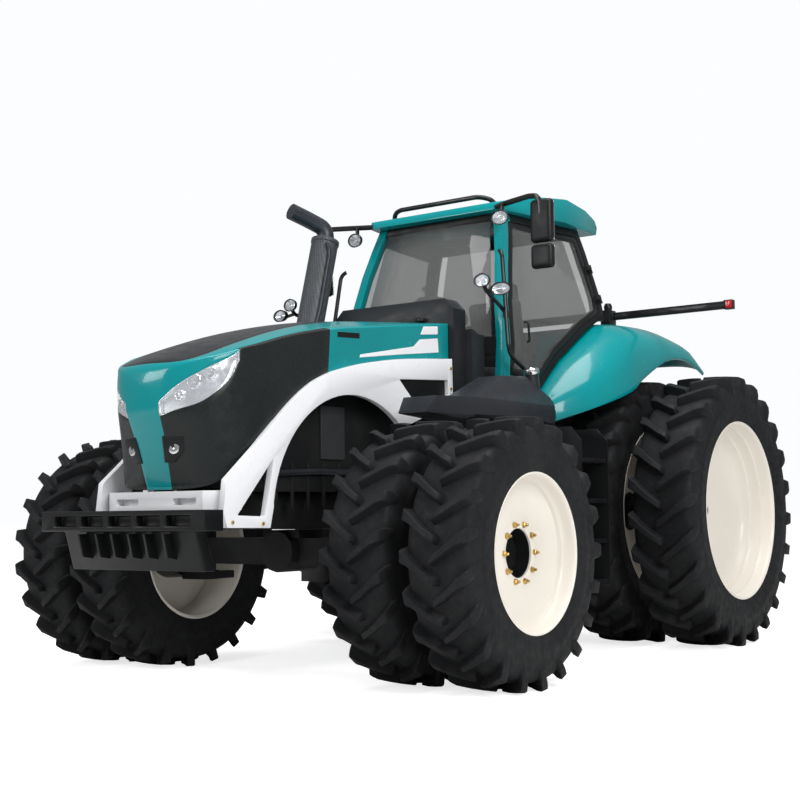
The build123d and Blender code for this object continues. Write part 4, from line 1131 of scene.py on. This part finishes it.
def dress_fittings():
    """Filler caps, door handles, marker lamps, the marker arms' knobs and the weight bar's ribs."""
    section = [(0, 0.5), (0, 52), (8, 56), (34, 56), (42, 50), (44, 20), (50, 16), (50, 0.5)]
    centre = mm(900, 1508, 1958)
    cap = aimed(turned("filler_cap", section, centre, 28), centre, (0, -0.2, 1))
    fit(soften(both_sides("filler_caps", [cap]), 0.002), CHROME, "chassis")
    for side, sign in SIDES.items():
        bends = ((786, 1620, 2350), (812, 1625, 2350), (812, 1640, 2210), (790, 1640, 2210))
        handle = pipe(f"door_handle_{side}", places(*[(sign * x, y, z) for x, y, z in bends]), 0.009, 0.015)
        fit(handle, BLACK, f"door_{side}")
    for end, y in (("front", 3014), ("rear", 3071)):
        marker = block("marker_lamp", (MARKER_IN, y, MARKER_LOW), (MARKER_OUT, y + 10, MARKER_HIGH), 0.004)
        fit(both_sides(f"marker_lamps_{end}", [marker]), RED, "chassis")
    centre = mm(720, 3042, 2598)
    knob = turned("arm_knob", [(0, 0.5), (0, 30), (34, 34), (60, 24), (64, 0.5)], centre, 24)
    aimed(knob, centre, (0, 0, 1))
    fit(soften(both_sides("arm_knobs", [knob]), 0.003), BLACK, "chassis")
    outline = [(-1476, 905), (-1440, 775), (-1340, 760), (-1340, 905)]
    ribs = [side_plate("weight_rib", x, outline, 16) for x in (60, 185, 330)]
    fit(soften(both_sides("weight_ribs", ribs), 0.002, 1), CARRIER, "chassis")


dress_lamps()
dress_mirrors()
dress_rails()
dress_stack()
dress_fittings()


# ---------------------------------------------------------------- engine bay and bolts
def dress_bay():
    """What shows through the arches and under the open bonnet."""
    panel = block("bay_panel", (331, -131, 1341), (345, 105, 1678), 0.006)
    rail = pipe("bay_pipe", places((352, -560, 1250), (352, -180, 1265), (352, 240, 1265), (352, 520, 1330)),
                0.018, 0.06, 4)
    ribs = [block("block_rib", (329, y, 1040), (338, y + 26, 1320), 0.003) for y in range(-560, 660, 150)]
    covers = [block("rocker_cover", (-150, y, 1858), (150, y + 250, 1905), 0.018)
              for y in range(-560, 560, 280)]
    fit(both_sides("bay_panels", [panel]), INSIDE, "chassis")
    fit(both_sides("bay_pipes", [rail]), STACK, "chassis")
    fit(both_sides("block_ribs", ribs), IRON, "chassis")
    fit(together("rocker_covers", covers), IRON, "chassis")


def bolt_heads(name, spots, size, finish):
    """Hexagon heads standing on a side face, on both sides."""
    section = [(0, 0.5), (0, size), (size * 0.8, size), (size * 0.9, size * 0.8), (size * 0.9, 0.5)]
    fit(both_sides(name, [turned(name, section, spot, 6) for spot in spots]), finish, "chassis")


dress_bay()
frame_bolts = ((1062, 1990), (1062, 1850), (-1120, 962), (-870, 952))
bolt_heads("side_frame_bolts", places(*[(FRAME_OUT - 1, y, z) for y, z in frame_bolts]), 11, ZINC)
bolt_heads("casting_bolts", places(*[(229, y, 1060) for y in range(-850, 700, 170)]), 14, CHASSIS)


# ---------------------------------------------------------------- floor, lights and camera
FLOOR_SIZE, FLOOR_GLOW = 300, 0.74
SKY_COLOUR, SKY_LEVEL = (0.97, 0.985, 1, 1), 0.34
# Place, what it points at, width and height, power
soft_lamps = {
    "soft_above": ((2, -1, 11), (0, 0, 1), (7, 7), 1100),
    "soft_left": ((9, -5, 6), (0, 0, 1.5), (4, 4), 560),
    "soft_front": ((-4, -9, 5), (0, 0, 1.5), (4, 3), 300),
}
CAMERA_PLACE, CAMERA_LENS = (5.6484, -7.9661, 1.0006), 60.714
CAMERA_YAW, CAMERA_PITCH, CAMERA_ROLL = 0.627, 0.084, -0.011


def seen_directly(tree):
    """1 for what the camera sees, also through glass, and 0 for the light that falls on the tractor."""
    rays = tree.nodes.new("ShaderNodeLightPath")
    seen = tree.nodes.new("ShaderNodeMath")
    seen.operation = "MAXIMUM"
    tree.links.new(rays.outputs["Is Camera Ray"], seen.inputs[0])
    tree.links.new(rays.outputs["Is Transmission Ray"], seen.inputs[1])
    return seen.outputs[0]


def floor():
    put_down()
    bpy.ops.mesh.primitive_grid_add(x_subdivisions=4, y_subdivisions=4, size=FLOOR_SIZE,
                                    location=(0, 0, -0.0005))
    ground = bpy.context.object
    ground.name = "studio_floor"
    made = bpy.data.materials.new("studio_white")
    made.use_nodes = True
    nodes, links = made.node_tree.nodes, made.node_tree.links
    shader = nodes["Principled BSDF"]
    for key, value in (("Base Color", (0.8, 0.8, 0.8, 1)), ("Roughness", 0.9), ("Specular IOR Level", 0.0)):
        shader.inputs[key].default_value = value
    glow = nodes.new("ShaderNodeEmission")
    share = nodes.new("ShaderNodeMath")
    share.operation = "MULTIPLY"
    share.inputs[1].default_value = FLOOR_GLOW
    links.new(seen_directly(made.node_tree), share.inputs[0])
    links.new(share.outputs[0], glow.inputs["Strength"])
    both = nodes.new("ShaderNodeAddShader")
    links.new(shader.outputs[0], both.inputs[0])
    links.new(glow.outputs[0], both.inputs[1])
    links.new(both.outputs[0], nodes["Material Output"].inputs["Surface"])
    ground.data.materials.append(made)


def sky():
    world = bpy.data.worlds.new("studio_sky")
    bpy.context.scene.world = world
    world.use_nodes = True
    links, back = world.node_tree.links, world.node_tree.nodes["Background"]
    back.inputs["Color"].default_value = SKY_COLOUR
    level = world.node_tree.nodes.new("ShaderNodeMapRange")
    level.inputs["To Min"].default_value = SKY_LEVEL
    level.inputs["To Max"].default_value = 1.0
    links.new(seen_directly(world.node_tree), level.inputs["Value"])
    links.new(level.outputs["Result"], back.inputs["Strength"])


def soft_lamp(name, place, aim, size, power):
    data = bpy.data.lights.new(name, "AREA")
    data.shape = "RECTANGLE"
    data.size, data.size_y = size
    data.energy = power
    obj = bpy.data.objects.new(name, data)
    obj.location = place
    obj.rotation_euler = (Vector(aim) - Vector(place)).to_track_quat("-Z", "Y").to_euler()
    bpy.context.scene.collection.objects.link(obj)


def camera():
    data = bpy.data.cameras.new("studio_camera")
    data.lens = CAMERA_LENS
    data.sensor_width = 36
    data.clip_end = 200
    obj = bpy.data.objects.new("studio_camera", data)
    yaw, roll = Matrix.Rotation(CAMERA_YAW, 3, "Z"), Matrix.Rotation(CAMERA_ROLL, 3, "Z")
    obj.location = CAMERA_PLACE
    obj.rotation_euler = (yaw @ Matrix.Rotation(pi / 2 + CAMERA_PITCH, 3, "X") @ roll).to_euler()
    bpy.context.scene.collection.objects.link(obj)
    bpy.context.scene.camera = obj


floor()
sky()
for name, settings in soft_lamps.items():
    soft_lamp(name, *settings)
camera()
bpy.context.scene.view_settings.view_transform = "Standard"
